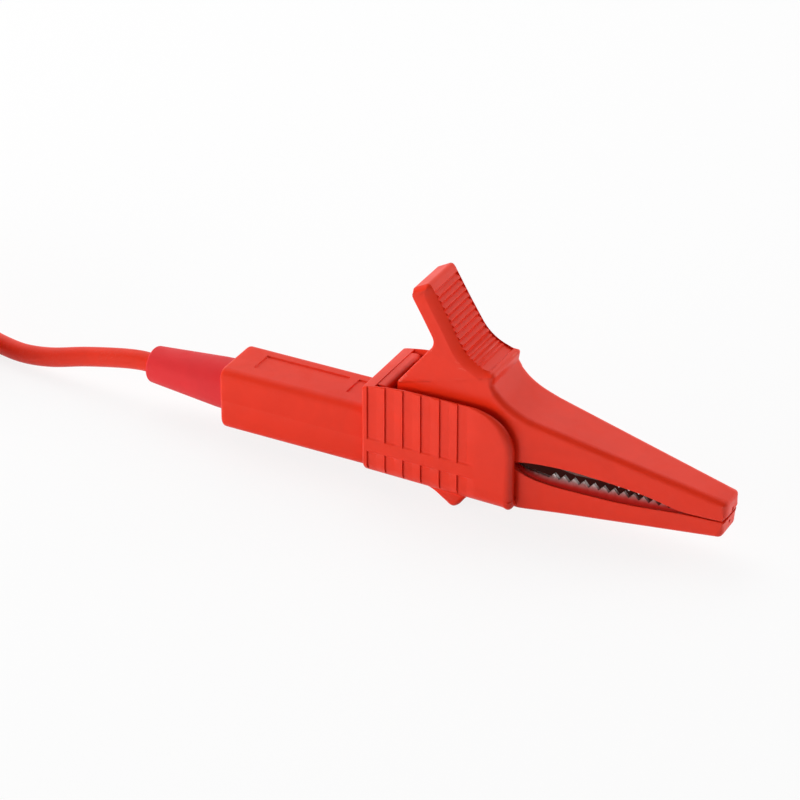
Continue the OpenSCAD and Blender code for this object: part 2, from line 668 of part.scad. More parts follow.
// Upper metal jaw: a channel with teeth, ears on the pivot pin and a tongue up inside the lever
module upper_jaw() color("silver") {
    depth = cover_wall + metal_gap;
    web_end = top_at(metal_end) - depth;
    tongue_top = pad_top + 3 * pad_way - depth * pad_out;
    difference() {
        intersection() {
            union() {
                sideways(concat([[pivot_x - 2.4, pivot_z + 1], [lever_x + 2.3, lever_top - 10.8],
                    tongue_top - 2 * pad_out, tongue_top], under_pad(depth), under_lip(depth),
                    [[metal_end, web_end]], teeth(upper_teeth, -1, upper_climb, 1.6),
                    [[upper_teeth_x - 4.5, parting_z + 2.15], [collar_len - 2.7, parting_z + 5],
                        [pivot_x + 1, pivot_z - 2.4]]), collar_w);
                across(metal_half, ear_r);
            }
            upright(both_sides([[0, metal_half], [taper_x, metal_half], [metal_end, metal_tip_half]]),
                -cut, lever_top);
        }
        // Inside of the channel, under its web and behind the tongue
        intersection() {
            sideways(concat([[cheek_x - 1.4, -cut], [cheek_x - 1.4, lever_top],
                tongue_top - cut * pad_way - sheet * pad_out], under_pad(depth + sheet),
                under_lip(depth + sheet), [[metal_end + cut, web_end - sheet], [metal_end + cut, -cut]]),
                collar_w);
            upright(both_sides([[0, metal_half - sheet], [taper_x, metal_half - sheet],
                [metal_end + cut, metal_tip_half - sheet]]), -2 * cut, lever_top + cut);
        }
        across(collar_w, pivot_r + run);
    }
}

// Turned socket for the plug's pin, with a stub riveted through the metal jaw's tab
module socket() color("goldenrod") {
    front = pivot_x + 0.1;
    rivet = front + gap + sheet;
    bore_end = pin_len + 0.6;
    turned([[1, socket_bore_r], [1, socket_r], [front, socket_r], [front, stub_r], [rivet, stub_r],
        [rivet, stub_r + 0.7], [rivet + 0.6, stub_r + 0.5], [rivet + 0.8, 0], [bore_end, 0],
        [bore_end, socket_bore_r]]);
}
// Insulating bush that holds the socket in the middle of the barrel
module socket_bush() color("#b8322a") {
    difference() {
        rod(bush_x, pivot_x - 0.1, barrel_bore_r - seat);
        rod(bush_x - cut, pivot_x + cut, socket_r + seat);
    }
}
module pivot_pin() color("gainsboro") {
    across(pivot_half, pivot_r);
}
// Torsion spring: one leg along the barrel, a close coil round the pivot, one leg up inside the lever
module jaw_spring() color("lightgray") {
    steps = 16;
    count = steps * spring_turns - 5;
    leg_z = barrel_r + wire_d / 2 + 2 * seat;
    leg_depth = cover_wall + metal_gap + sheet + wire_d / 2 + 4 * seat;
    leg_tip = knee - leg_stop * pad_way - leg_depth * pad_out;
    leg_end = [leg_tip[0], spring_half, leg_tip[1]];
    coil = [for (i = [0:count]) [pivot_x + coil_r * cos(-90 - 360 * i / steps),
        -spring_half + 2 * spring_half * i / count, pivot_z + coil_r * sin(-90 - 360 * i / steps)]];
    way = leg_end - coil[count];
    leg = [for (s = [1, 0.5]) [pivot_x - s * spring_leg, -spring_half, leg_z + (1 - s) * 4 * seat]];
    swept(concat(leg, coil, [leg_end]), wire_d / 2, 6, [1, 0, 0], [way[0], 0, way[2]], [0, 1, 0]);
}

module cord_near() color(red) {
    swept(smooth(near_route, 2), cord_r, 8, [-1, 0, 0], [-1, 0, 0], [0, 0, 1]);
}
module cord_far() color(red) {
    swept(smooth(far_route, 2), cord_r, 8, [0, -1, 0], [1, 0, 0], [0, 0, 1]);
}
// Stored length of the cord: a hank two cords wide, as one ring with straight runs and round folds
module cord_coil() color(red) {
    height = hank_layers * cord_d;
    section = rounded([hank_fold / 2, hank_lift + height / 2], 2 * cord_d, height, cord_r);
    translate([hank_at[0], hank_at[1], 0]) {
        rotate([0, 0, -90]) rotate_extrude(angle = 180) polygon(section);
        translate([-hank_run, 0, 0]) rotate([0, 0, 90]) rotate_extrude(angle = 180) polygon(section);
        for (side = [0, 1]) mirror([0, side, 0])
            translate([-hank_run, 0, 0]) rotate([90, 0, 90]) linear_extrude(hank_run) polygon(section);
    }
}
// Strap round the middle of the hank
module cord_tie() color("#303030") {
    w = hank_fold + 2 * cord_d + 2 * seat;
    h = hank_layers * cord_d + 2 * seat;
    middle = [0, hank_lift + h / 2 - seat];
    translate([hank_at[0] - (hank_run + tie_w) / 2, hank_at[1], 0]) difference() {
        lengthways(rounded(middle, w + 2 * tie_wall, h + 2 * tie_wall, cord_r + tie_wall), 0, tie_w);
        lengthways(rounded(middle, w, h, cord_r), -cut, tie_w + cut);
    }
}

on_near_plug() plug_housing();  // near_housing
on_near_plug() plug_boot();  // near_boot
on_near_plug() plug_contact();  // near_contact
on_near_plug() plug_cage();  // near_cage
on_near_plug() plug_conductor();  // near_conductor
on_near_plug() plug_cable();  // near_cable
on_clip() lower_cover();
on_clip() lower_jaw();
on_clip() socket();
on_clip() socket_bush();
on_clip() pivot_pin();
on_clip() jaw_spring();
on_clip() upper_cover();
on_clip() upper_jaw();
cord_near();
cord_coil();
cord_tie();
cord_far();
on_far_plug() plug_housing();  // far_housing
on_far_plug() plug_boot();  // far_boot
on_far_plug() plug_contact();  // far_contact
on_far_plug() plug_cage();  // far_cage
on_far_plug() plug_conductor();  // far_conductor
on_far_plug() plug_cable();  // far_cable
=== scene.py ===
import math

import bmesh
import bpy
import numpy as np
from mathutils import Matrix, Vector


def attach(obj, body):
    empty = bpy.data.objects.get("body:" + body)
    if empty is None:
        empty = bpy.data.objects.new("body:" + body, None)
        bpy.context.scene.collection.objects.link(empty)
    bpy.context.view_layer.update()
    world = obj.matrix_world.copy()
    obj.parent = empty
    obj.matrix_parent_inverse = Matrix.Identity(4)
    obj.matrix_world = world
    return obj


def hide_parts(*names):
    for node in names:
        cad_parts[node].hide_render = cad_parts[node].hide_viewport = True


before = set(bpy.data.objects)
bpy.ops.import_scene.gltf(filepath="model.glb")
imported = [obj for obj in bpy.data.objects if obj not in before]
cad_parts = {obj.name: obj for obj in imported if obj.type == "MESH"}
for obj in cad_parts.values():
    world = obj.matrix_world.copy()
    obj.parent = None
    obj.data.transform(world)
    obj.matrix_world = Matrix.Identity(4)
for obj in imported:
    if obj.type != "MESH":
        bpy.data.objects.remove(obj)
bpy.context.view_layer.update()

MM = 0.001
# Where things stand in the frame, in millimetres: the back of the clip's collar on the plug's axis, and the
# middle of the front face of each plug's housing
CLIP_AT = (-10.45, 0.0, 8.7)
NEAR_AT = (-10.75, 0.0, 8.7)
FAR_AT = (-118.0, -27.0, 6.5)


# Camera, at the photograph's angle

azimuth, elevation, distance = math.radians(27.673), math.radians(29.943), 0.5962
target = Vector((-0.00673, 0.0, 0.01504))
across = math.cos(elevation)
back = Vector((math.sin(azimuth) * across, -math.cos(azimuth) * across, math.sin(elevation)))
camera = bpy.data.objects.new("camera", bpy.data.cameras.new("camera"))
bpy.context.scene.collection.objects.link(camera)
camera.data.sensor_width = 36
camera.data.lens = 141.53
camera.data.clip_start = 0.01
camera.location = target + back * distance
camera.rotation_euler = back.to_track_quat("Z", "Y").to_euler()
bpy.context.scene.camera = camera


# Lines

def lengths(line):
    """Length along a line at each of its points: the running sum of its steps."""
    return np.concatenate([[0], np.cumsum(np.linalg.norm(np.diff(line, axis=0), axis=1))])


def fill(points, count):
    """Points at equal steps of length along a line of points."""
    p = np.asarray(points, float)
    s = lengths(p)
    t = np.linspace(0, s[-1], count)
    return np.stack([np.interp(t, s, p[:, k]) for k in range(p.shape[1])], axis=1)


# Half the angle of a corner, in radians, past which it counts as straight
NEARLY_STRAIGHT = 1.56


def round_corners(corners, radii, steps=10):
    """A line through corners, where the arc of each radius touches both sides of its corner."""
    c = np.asarray(corners, float)
    out = [c[:1]]
    for a, b, d, r in zip(c[:-2], c[1:-1], c[2:], radii):
        u, v = (a - b) / np.linalg.norm(a - b), (d - b) / np.linalg.norm(d - b)
        half = np.arccos(np.clip(u @ v, -1, 1)) / 2
        if r <= 0 or half > NEARLY_STRAIGHT:
            out.append(b[None])
            continue
        centre = b + (u + v) / np.linalg.norm(u + v) * r / np.sin(half)
        first, last = b + u * r / np.tan(half) - centre, b + v * r / np.tan(half) - centre
        sweep = math.pi - 2 * half
        t = np.linspace(0, 1, steps + 1)[:, None]
        out.append(centre + (np.sin((1 - t) * sweep) * first + np.sin(t * sweep) * last) / np.sin(sweep))
    out.append(c[-1:])
    return np.concatenate(out)


def smooth_line(points, steps=12):
    """A Catmull-Rom curve through points: each point's slope is half the step between its neighbours."""
    p = np.asarray(points, float)
    q = np.concatenate([2 * p[:1] - p[1:2], p, 2 * p[-1:] - p[-2:-1]])
    a, b, c, d = q[:-3, None], q[1:-2, None], q[2:-1, None], q[3:, None]
    t = (np.arange(steps) / steps)[None, :, None]
    squared, cubed = (2 * a - 5 * b + 4 * c - d) * t ** 2, (3 * b - a - 3 * c + d) * t ** 3
    curve = 0.5 * (2 * b + (c - a) * t + squared + cubed)
    return np.concatenate([curve.reshape(-1, p.shape[1]), p[-1:]])


def joined(parts, counts):
    """One line of stations from a list of lines, each filled with its own count of steps."""
    filled = [fill(part, count + 1)[:-1] for part, count in zip(parts, counts)]
    return np.concatenate(filled + [np.asarray(parts[-1], float)[-1:]])


def ease(x, low, high):
    """A smooth step from 0 at low to 1 at high."""
    t = np.clip((x - low) / (high - low), 0, 1)
    return t * t * (3 - 2 * t)


def normals_of(line, side):
    """Unit normals of a line in the x-z plane, on its left (side 1) or right (side -1)."""
    d = np.gradient(line, axis=0)
    d /= np.linalg.norm(d, axis=1, keepdims=True) + 1e-12
    return side * np.stack([-d[:, 1], d[:, 0]], axis=1)


# Meshes

def grid_faces(rows, columns, wrap_rows, wrap_columns, first):
    """Quads between neighbouring points of a grid."""
    i = np.arange(rows if wrap_rows else rows - 1)[:, None]
    j = np.arange(columns if wrap_columns else columns - 1)[None, :]
    i2, j2 = (i + 1) % rows, (j + 1) % columns
    quads = [i * columns + j, i2 * columns + j, i2 * columns + j2, i * columns + j2]
    return (np.stack(np.broadcast_arrays(*quads), axis=-1).reshape(-1, 4) + first).astype(int)


class Piece:
    """Grids of points in millimetres, gathered into one mesh."""

    def __init__(self):
        self.points, self.faces, self.along, self.count = [], [], [], 0

    def add(self, grid, at=(0, 0, 0), wrap_rows=False, wrap_columns=True, caps=False, along=None):
        """Adds a grid, whose rows or columns may close on themselves. caps closes its first and last row with
        one flat face each. along gives each point a vector for patterns that follow the surface."""
        g = np.asarray(grid, float) + np.asarray(at, float)
        rows, columns = g.shape[:2]
        self.faces += grid_faces(rows, columns, wrap_rows, wrap_columns, self.count).tolist()
        if caps:
            self.faces.append((self.count + np.arange(columns)[::-1]).tolist())
            self.faces.append((self.count + (rows - 1) * columns + np.arange(columns)).tolist())
        self.points.append(g.reshape(-1, 3))
        if along is not None:
            self.along.append(along.reshape(-1, 3))
        self.count += rows * columns
        return self

    def finish(self, name, material, sharp=35):
        """Makes the mesh: doubles merged, faces turned outwards, smooth up to an angle of its edges."""
        mesh = bpy.data.meshes.new(name)
        mesh.from_pydata((np.concatenate(self.points) * MM).tolist(), [], self.faces)
        piece = bpy.data.objects.new(name, mesh)
        bpy.context.scene.collection.objects.link(piece)
        if self.along:
            pattern = mesh.attributes.new("along", "FLOAT_VECTOR", "POINT")
            pattern.data.foreach_set("vector", (np.concatenate(self.along) * MM).ravel())
        bm = bmesh.new()
        bm.from_mesh(mesh)
        bmesh.ops.remove_doubles(bm, verts=bm.verts, dist=1e-6)
        bmesh.ops.dissolve_degenerate(bm, edges=bm.edges, dist=1e-7)
        bmesh.ops.recalc_face_normals(bm, faces=bm.faces)
        bm.to_mesh(mesh)
        bm.free()
        mesh.shade_smooth()
        mesh.set_sharp_from_angle(angle=math.radians(sharp))
        mesh.materials.append(material)
        return piece


def tube(path, radius, sides=16, upright=(0, 0, 1.0)):
    """A circle carried along a path, its up direction kept close to the upright one."""
    p = np.asarray(path, float)
    d = np.gradient(p, axis=0)
    d /= np.linalg.norm(d, axis=1, keepdims=True)
    side = np.cross(d, upright)
    side /= np.linalg.norm(side, axis=1, keepdims=True) + 1e-12
    up = np.cross(side, d)
    t = np.linspace(0, 2 * math.pi, sides, endpoint=False)[None, :, None]
    return p[:, None] + radius * (np.cos(t) * side[:, None] + np.sin(t) * up[:, None])


def tube_along(path, radius, sides=16):
    """For each point of a tube, the length along the path and the place on the circle."""
    s = lengths(path)[:, None]
    t = np.linspace(0, 2 * math.pi, sides, endpoint=False)[None]
    return np.stack(np.broadcast_arrays(s, radius * np.cos(t), radius * np.sin(t)), axis=-1)


def turned(profile, sides=96):
    """A surface of revolution about the x axis: points (x, radius) carried round a circle."""
    p = np.asarray(profile, float)
    t = np.linspace(0, 2 * math.pi, sides, endpoint=False)
    x, r = np.broadcast_to(p[:, :1], (len(p), sides)), p[:, 1:]
    return np.stack([x, r * np.cos(t), r * np.sin(t)], axis=-1)


def slab(outline, half, edge, steps=5):
    """A plate across y: a closed x-z outline, drawn in by a quarter circle at both faces."""
    p = np.asarray(outline, float)
    d = np.roll(p, -1, axis=0) - np.roll(p, 1, axis=0)
    n = np.stack([d[:, 1], -d[:, 0]], axis=1) / (np.linalg.norm(d, axis=1, keepdims=True) + 1e-12)
    x, z = p[:, 0], p[:, 1]
    n *= np.sign(np.sum(x * np.roll(z, -1) - np.roll(x, -1) * z))
    a = np.linspace(0, math.pi / 2, steps + 1)
    inset = edge * np.concatenate([1 - np.sin(a), (1 - np.sin(a))[::-1]])
    y = np.concatenate([-half + edge * (1 - np.cos(a)), (half - edge * (1 - np.cos(a)))[::-1]])
    q = p[None] - n[None] * inset[:, None, None]
    return np.stack([q[..., 0], np.broadcast_to(y[:, None], q.shape[:2]), q[..., 1]], axis=-1)


def with_y(xz, y):
    """Points of the x-z plane put at widths y."""
    return np.concatenate([xz[..., :1], np.broadcast_to(y, xz.shape[:-1])[..., None], xz[..., 1:]], axis=-1)


# The most of a channel wall's height that its corner and its rim may take
CORNER_MOST, RIM_MOST = 0.45, 0.3
CORNER_POINTS, LINING_POINTS, CEILING_POINTS = 8, 8, 9


def channel(web, free, inner, side, half_at, wall, round_y, round_n, rim, up, across, bevel=0, slack=1,
            on_web=None, on_side=None):
    """A channel-shaped shell: at each station a closed section of two side walls and a web.
    web and free are x-z lines of the web's outside and of the walls' free edges, inner the web's inside, and
    half_at gives half the width at an x-z point. The web meets each wall in an ellipse arc of round_y by
    round_n, flattened towards a straight bevel by the share bevel. rim is a list of (share of the wall,
    depth), the section of a free edge from its outer to its inner side, for all stations or for each. up and
    across are the grid's shares of the wall's height and the web's width. Both roundings shrink where the
    wall is low, and less so where they lie across its height, down to the share slack. on_web and on_side
    give heights added outside."""
    n = len(web)
    n_web, n_free = normals_of(web, side), normals_of(free, -side)
    reach = np.linalg.norm(web - free, axis=1)
    height = (web - free) / reach[:, None]
    facing = [np.abs(np.sum(height * m, axis=1)) for m in (n_web, n_free)]
    room_web, room_free = [reach / np.clip(f, slack, 1) for f in facing]
    round_n = np.minimum(round_n, CORNER_MOST * room_web)
    rim = np.broadcast_to(rim, (n,) + np.shape(rim)[-2:])
    share, depth = rim[..., 0], rim[..., 1]
    depth = depth * np.minimum(1, RIM_MOST * room_free / depth.max(axis=1))[:, None]

    arc, straight = np.linspace(0, math.pi / 2, CORNER_POINTS), np.linspace(0, 1, CORNER_POINTS)
    bevel = np.broadcast_to(bevel, n)[:, None]
    corner_n = round_n[:, None] * ((1 - np.sin(arc)) * (1 - bevel) + (1 - straight) * bevel)
    corner = web[:, None] - n_web[:, None] * corner_n[..., None]
    drawn_in = round_y[:, None] * ((1 - np.cos(arc)) * (1 - bevel) + straight * bevel)
    corner_y = half_at(corner[:, :1]) - drawn_in
    rim_xz = free[:, None] - n_free[:, None] * depth[..., None]
    low = rim_xz[:, :1]
    up = np.broadcast_to(up, (n, np.shape(up)[-1]))[..., None]
    face = low + (corner[:, :1] - low) * up
    face_y = half_at(face)
    rim_y = half_at(rim_xz) - wall[:, None] * share
    if on_side is not None:
        station = web[:, :1]
        face_y = face_y + on_side(station, face[..., 1])
        corner_y = corner_y + on_side(station, corner[..., 1])
        rim_y = np.minimum(rim_y, half_at(rim_xz) + on_side(station, rim_xz[..., 1]))
    top_y = corner_y[:, -1:] * across[None]
    top = np.broadcast_to(web[:, None], top_y.shape + (2,))
    if on_web is not None:
        top = top + n_web[:, None] * on_web(np.broadcast_to(across[None], top_y.shape))[..., None]

    t = np.linspace(0, 1, LINING_POINTS)[1:][None, :, None]
    last = rim_xz[:, -1:]
    lining = last + (inner[:, None] - last) * t
    lining_y = half_at(lining) - wall[:, None]
    ceiling_y = lining_y[:, -1:] * np.linspace(1, -1, CEILING_POINTS)[None, 1:-1]
    ceiling = np.broadcast_to(inner[:, None], ceiling_y.shape + (2,))
    right = [with_y(top, top_y)[:, 1:-1], with_y(corner, corner_y)[:, ::-1], with_y(face, face_y)[:, ::-1],
             with_y(rim_xz, rim_y), with_y(lining, lining_y), with_y(ceiling, ceiling_y)]
    left = [with_y(lining, -lining_y)[:, ::-1], with_y(rim_xz, -rim_y)[:, ::-1], with_y(face, -face_y),
            with_y(corner, -corner_y)]
    return np.concatenate(right + left, axis=1)


# Materials

def node(tree, kind, inputs=None, **settings):
    """Adds a shader node. inputs are its sockets by name or number, each with a value or a socket to link."""
    n = tree.nodes.new("ShaderNode" + kind)
    for key, value in settings.items():
        setattr(n, key, value)
    for key, value in (inputs or {}).items():
        if isinstance(value, bpy.types.NodeSocket):
            tree.links.new(value, n.inputs[key])
        else:
            n.inputs[key].default_value = value
    return n


def calc(tree, operation, *values, clamp=True):
    """Result of a sum, held between 0 and 1 unless clamp is off."""
    return node(tree, "Math", dict(enumerate(values)), operation=operation, use_clamp=clamp).outputs[0]


def band(tree, value, low, high, out_low=0.0, out_high=1.0):
    """Smooth step of a value between two levels."""
    inputs = {0: value, 1: low, 2: high, 3: out_low, 4: out_high}
    return node(tree, "MapRange", inputs, interpolation_type="SMOOTHSTEP").outputs[0]


def noise(tree, vector, scale, detail=2.0, rough=0.5, twist=0.0):
    """Cloudy values about 0.5, with a scale in waves for each unit of the vector."""
    inputs = {"Vector": vector, "Scale": scale, "Detail": detail, "Roughness": rough, "Distortion": twist}
    return node(tree, "TexNoise", inputs).outputs[0]


def blend_colour(tree, share, a, b):
    """Colour a, with a share of colour b."""
    return node(tree, "Mix", {0: share, 6: a, 7: b}, data_type="RGBA").outputs[2]


def shade(colour, by, most=1.0):
    """A colour times a factor, each of its parts held under a limit."""
    return (*(min(by * c, most) for c in colour), 1)


def in_mm(tree, place):
    """A place in millimetres."""
    return node(tree, "VectorMath", {0: place, "Scale": 1 / MM}, operation="SCALE").outputs[0]


def turn(tree, place, angles):
    """A place turned about the axes, so that a pattern on it lies at a slant."""
    return node(tree, "Mapping", {"Vector": place, "Rotation": angles}).outputs["Vector"]


def scale_of(tree, size):
    """Scale of a pattern whose waves have a size in millimetres: 1 over that size."""
    return calc(tree, "DIVIDE", 1.0, size, clamp=False)


def effect(name, values, outputs):
    """Starts a shader node group that takes a place and some sizes in millimetres, and puts out masks."""
    tree = bpy.data.node_groups.new(name, "ShaderNodeTree")
    tree.interface.new_socket("Place", in_out="INPUT", socket_type="NodeSocketVector")
    for label, value in values.items():
        tree.interface.new_socket(label, in_out="INPUT", socket_type="NodeSocketFloat").default_value = value
    for label in outputs:
        tree.interface.new_socket(label, in_out="OUTPUT", socket_type="NodeSocketFloat")
    taken, given = tree.nodes.new("NodeGroupInput").outputs, tree.nodes.new("NodeGroupOutput").inputs
    return tree, taken, given, in_mm(tree, taken["Place"])


def moulded_grain():
    """Fine orange peel of a moulded surface, and the slow change of shade that the melt's flow leaves."""
    sizes = {"Grain": 0.4, "Flow": 12.0}
    tree, taken, given, place = effect("moulded_grain", sizes, ["Height", "Flow shade"])
    tree.links.new(noise(tree, place, scale_of(tree, taken["Grain"]), 3.0, 0.6), given["Height"])
    tree.links.new(noise(tree, place, scale_of(tree, taken["Flow"]), 3.0, 0.6, 1.2), given["Flow shade"])
    return tree


def fine_lines():
    """Long thin lines: the middle levels of a noise that is stretched along the first axis, in patches."""
    sizes = {"Length": 9.0, "Spacing": 0.8, "Width": 0.02}
    tree, taken, given, place = effect("fine_lines", sizes, ["Lines", "Streaks"])
    across = scale_of(tree, taken["Spacing"])
    steps = node(tree, "CombineXYZ", {0: scale_of(tree, taken["Length"]), 1: across, 2: across}).outputs[0]
    stretched = node(tree, "VectorMath", {0: place, 1: steps}, operation="MULTIPLY").outputs[0]
    streaks = noise(tree, stretched, 1.0, 3.0, 0.55, 0.4)
    off = calc(tree, "ABSOLUTE", calc(tree, "SUBTRACT", streaks, 0.5, clamp=False), clamp=False)
    lines = band(tree, off, 0.0, taken["Width"], 1.0, 0.0)
    patches = band(tree, noise(tree, place, 0.11, 2.0), 0.44, 0.62)
    tree.links.new(calc(tree, "MULTIPLY", lines, patches), given["Lines"])
    tree.links.new(streaks, given["Streaks"])
    return tree


def worn_and_highlit_edges():
    """Outer edges, by how pointed the surface is, broken up so that the wear isn't even. Materials make them
    paler, partly as wear and partly as a painted highlight on the rounded edges.
    """
    tree, taken, given, place = effect("worn_and_highlit_edges", {"Low": 0.52, "High": 0.6, "Break": 1.6}, ["Mask"])
    edge = band(tree, node(tree, "NewGeometry").outputs["Pointiness"], taken["Low"], taken["High"])
    gaps = band(tree, noise(tree, place, scale_of(tree, taken["Break"]), 4.0, 0.65), 0.3, 0.62)
    tree.links.new(calc(tree, "MULTIPLY", edge, gaps), given["Mask"])
    return tree


def handling():
    """Soft patches where fingers have left the surface a little duller."""
    tree, taken, given, place = effect("handling", {"Patch": 8.0}, ["Mask"])
    patch = noise(tree, place, scale_of(tree, taken["Patch"]), 4.0, 0.6, 1.6)
    tree.links.new(band(tree, patch, 0.42, 0.72), given["Mask"])
    return tree


GRAIN, LINES, WORN_AND_HIGHLIT_EDGES, HANDLING = moulded_grain(), fine_lines(), worn_and_highlit_edges(), handling()


def use(tree, effect_tree, place, **sizes):
    """Puts an effect into a material, with its own sizes."""
    n = node(tree, "Group", node_tree=effect_tree)
    tree.links.new(place, n.inputs["Place"])
    for label, value in sizes.items():
        n.inputs[label].default_value = value
    return n.outputs


def new_material(name, place="Object", **constants):
    """A new material: its tree, its shader with constants set on the sockets, and the place that patterns
    follow, which is the Object coordinates or an attribute."""
    material = bpy.data.materials.new(name)
    material.use_nodes = True
    tree = material.node_tree
    shader = tree.nodes["Principled BSDF"]
    for label, value in constants.items():
        shader.inputs[label.replace("_", " ")].default_value = value
    if place == "Object":
        return material, tree, shader, node(tree, "TexCoord").outputs["Object"]
    return material, tree, shader, node(tree, "Attribute", attribute_name=place).outputs["Vector"]


def feed(tree, shader, colour, roughness, height, depth):
    """Links the colour, the roughness and a bump of the depth in millimetres."""
    tree.links.new(colour, shader.inputs["Base Color"])
    tree.links.new(roughness, shader.inputs["Roughness"])
    bump = node(tree, "Bump", {"Strength": 1.0, "Distance": depth * MM, "Height": height})
    tree.links.new(bump.outputs["Normal"], shader.inputs["Normal"])


def moulded(name, colour, pale, rough, grain, depth, specular=0.4, wear_and_highlight_amount=0.5):
    """Moulded plastic or rubber: flow shades, orange peel, dull patches, scratches, and paler edges that are
    partly wear and partly a painted highlight.
    """
    material, tree, shader, place = new_material(name, Specular_IOR_Level=specular)
    skin = use(tree, GRAIN, place, Grain=grain, Flow=12.0)
    touched = use(tree, HANDLING, place, Patch=7.0)["Mask"]
    slant = turn(tree, place, (0.4, 0.5, 0.7))
    scratches = use(tree, LINES, slant, Length=11.0, Spacing=1.1, Width=0.012)["Lines"]
    # Paler edges: partly wear, partly a painted highlight along the rounded edges.
    wear_and_highlight = use(tree, WORN_AND_HIGHLIT_EDGES, place, Low=0.55, High=0.68, Break=1.3)["Mask"]
    tint = blend_colour(tree, skin["Flow shade"], shade(colour, 0.88), shade(colour, 1.1, 0.92))
    marks = calc(tree, "MAXIMUM", calc(tree, "MULTIPLY", wear_and_highlight, wear_and_highlight_amount), calc(tree, "MULTIPLY", scratches, 0.04))
    tint = blend_colour(tree, marks, tint, (*pale, 1))
    dull = calc(tree, "MULTIPLY_ADD", touched, 0.09, rough - 0.03)
    dull = calc(tree, "MULTIPLY_ADD", skin["Height"], 0.06, dull)
    dull = calc(tree, "MULTIPLY_ADD", marks, 0.15, dull)
    height = calc(tree, "SUBTRACT", skin["Height"], calc(tree, "MULTIPLY", scratches, 0.1))
    feed(tree, shader, tint, dull, height, depth)
    return material


def worked_metal(tree, at, bright, dark, rough, spread, length, spacing):
    """Colour, roughness and height of drawn, turned or stamped metal: streaks along its length, darker
    tarnish in patches, and fine scratches."""
    drawn = use(tree, LINES, at, Length=length, Spacing=spacing, Width=0.05)
    slant = turn(tree, at, (0.9, 0.2, 1.1))
    scratches = use(tree, LINES, slant, Length=5.0, Spacing=0.7, Width=0.01)["Lines"]
    tarnish = use(tree, HANDLING, at, Patch=3.5)["Mask"]
    tint = blend_colour(tree, calc(tree, "MULTIPLY", tarnish, 0.8), (*bright, 1), (*dark, 1))
    tint = blend_colour(tree, calc(tree, "MULTIPLY", drawn["Lines"], 0.35), tint, (*dark, 1))
    tint = blend_colour(tree, calc(tree, "MULTIPLY", scratches, 0.4), tint, shade(bright, 1.25))
    dull = calc(tree, "MULTIPLY_ADD", tarnish, spread, rough - 0.05)
    dull = calc(tree, "MULTIPLY_ADD", drawn["Streaks"], 0.1, dull)
    height = calc(tree, "SUBTRACT", drawn["Streaks"], calc(tree, "MULTIPLY", scratches, 0.5))
    return tint, dull, height


def metal(name, bright, dark, rough, spread=0.22, length=14.0, spacing=0.25, depth=0.004, place="Object"):
    """Plain metal parts: worked metal alone."""
    material, tree, shader, at = new_material(name, place, Metallic=1.0)
    feed(tree, shader, *worked_metal(tree, at, bright, dark, rough, spread, length, spacing), depth)
    return material


# Jaw steel: pitch of the teeth, depths of the flutes and of the surface's bump, and its colours: steel,
# tarnish, and the faint painted glow of its inner faces in painted shade
TOOTH_PITCH, FLUTE_DEEP, STEEL_BUMP = 1.95, 0.10, 0.008
STEEL, TARNISHED, FAINT_GLOW = (0.72, 0.66, 0.64), (0.45, 0.36, 0.34), (0.016, 0.006, 0.005)


def jaw_steel(name, tip, unshaded_z, shaded_z, shade_tint=(0.12, 0.07, 0.06), painted_glow=FAINT_GLOW):
    """Steel of a toothed jaw, with flutes pressed in under its teeth: a cosine along x with a top at the
    first tip and at each pitch after it. Painted shade behind the teeth fades in from the first height given
    to the second, in the colour given after them, and makes the steel less metallic and rougher there. The
    last colour is a painted glow: an emission on the jaw's outer faces in the painted shade, which stands in
    for red light bounced from the covers; its other faces there get a faint one."""
    material, tree, shader, at = new_material(name, Metallic=1.0, Emission_Strength=1.0)
    tint, dull, height = worked_metal(tree, at, STEEL, TARNISHED, rough=0.26, spread=0.22, length=14.0,
                                      spacing=0.35)
    mm = node(tree, "SeparateXYZ", {0: in_mm(tree, at)}).outputs
    wave = 2 * math.pi / TOOTH_PITCH
    phase = calc(tree, "MULTIPLY_ADD", mm["X"], wave, -wave * tip, clamp=False)
    flutes = calc(tree, "MULTIPLY_ADD", calc(tree, "COSINE", phase, clamp=False), 0.5, 0.5, clamp=False)
    height = calc(tree, "MULTIPLY_ADD", flutes, FLUTE_DEEP / STEEL_BUMP, height, clamp=False)
    # Painted shade: between the two heights the steel turns to a darker tint, less metallic and rougher,
    # where shade falls in the jaws' mouth.
    ends = (0.0, 1.0) if unshaded_z < shaded_z else (1.0, 0.0)
    painted_shade = band(tree, mm["Z"], min(unshaded_z, shaded_z), max(unshaded_z, shaded_z), *ends)
    tint = blend_colour(tree, painted_shade, tint, (*shade_tint, 1))
    tree.links.new(calc(tree, "MULTIPLY_ADD", painted_shade, -0.7, 1.0), shader.inputs["Metallic"])
    # Painted glow: an emission in the painted shade, red on the outer faces, stands in for light bounced from
    # the red covers.
    facing = node(tree, "SeparateXYZ", {0: node(tree, "TexCoord").outputs["Normal"]}).outputs["Y"]
    outer = calc(tree, "GREATER_THAN", calc(tree, "MULTIPLY", facing, mm["Y"]), 0.5)
    light = blend_colour(tree, outer, (*FAINT_GLOW, 1), (*painted_glow, 1))
    tree.links.new(blend_colour(tree, painted_shade, (0, 0, 0, 1), light), shader.inputs["Emission Color"])
    dull = calc(tree, "MULTIPLY_ADD", painted_shade, 0.25, dull)
    feed(tree, shader, tint, dull, height, STEEL_BUMP)
    return material


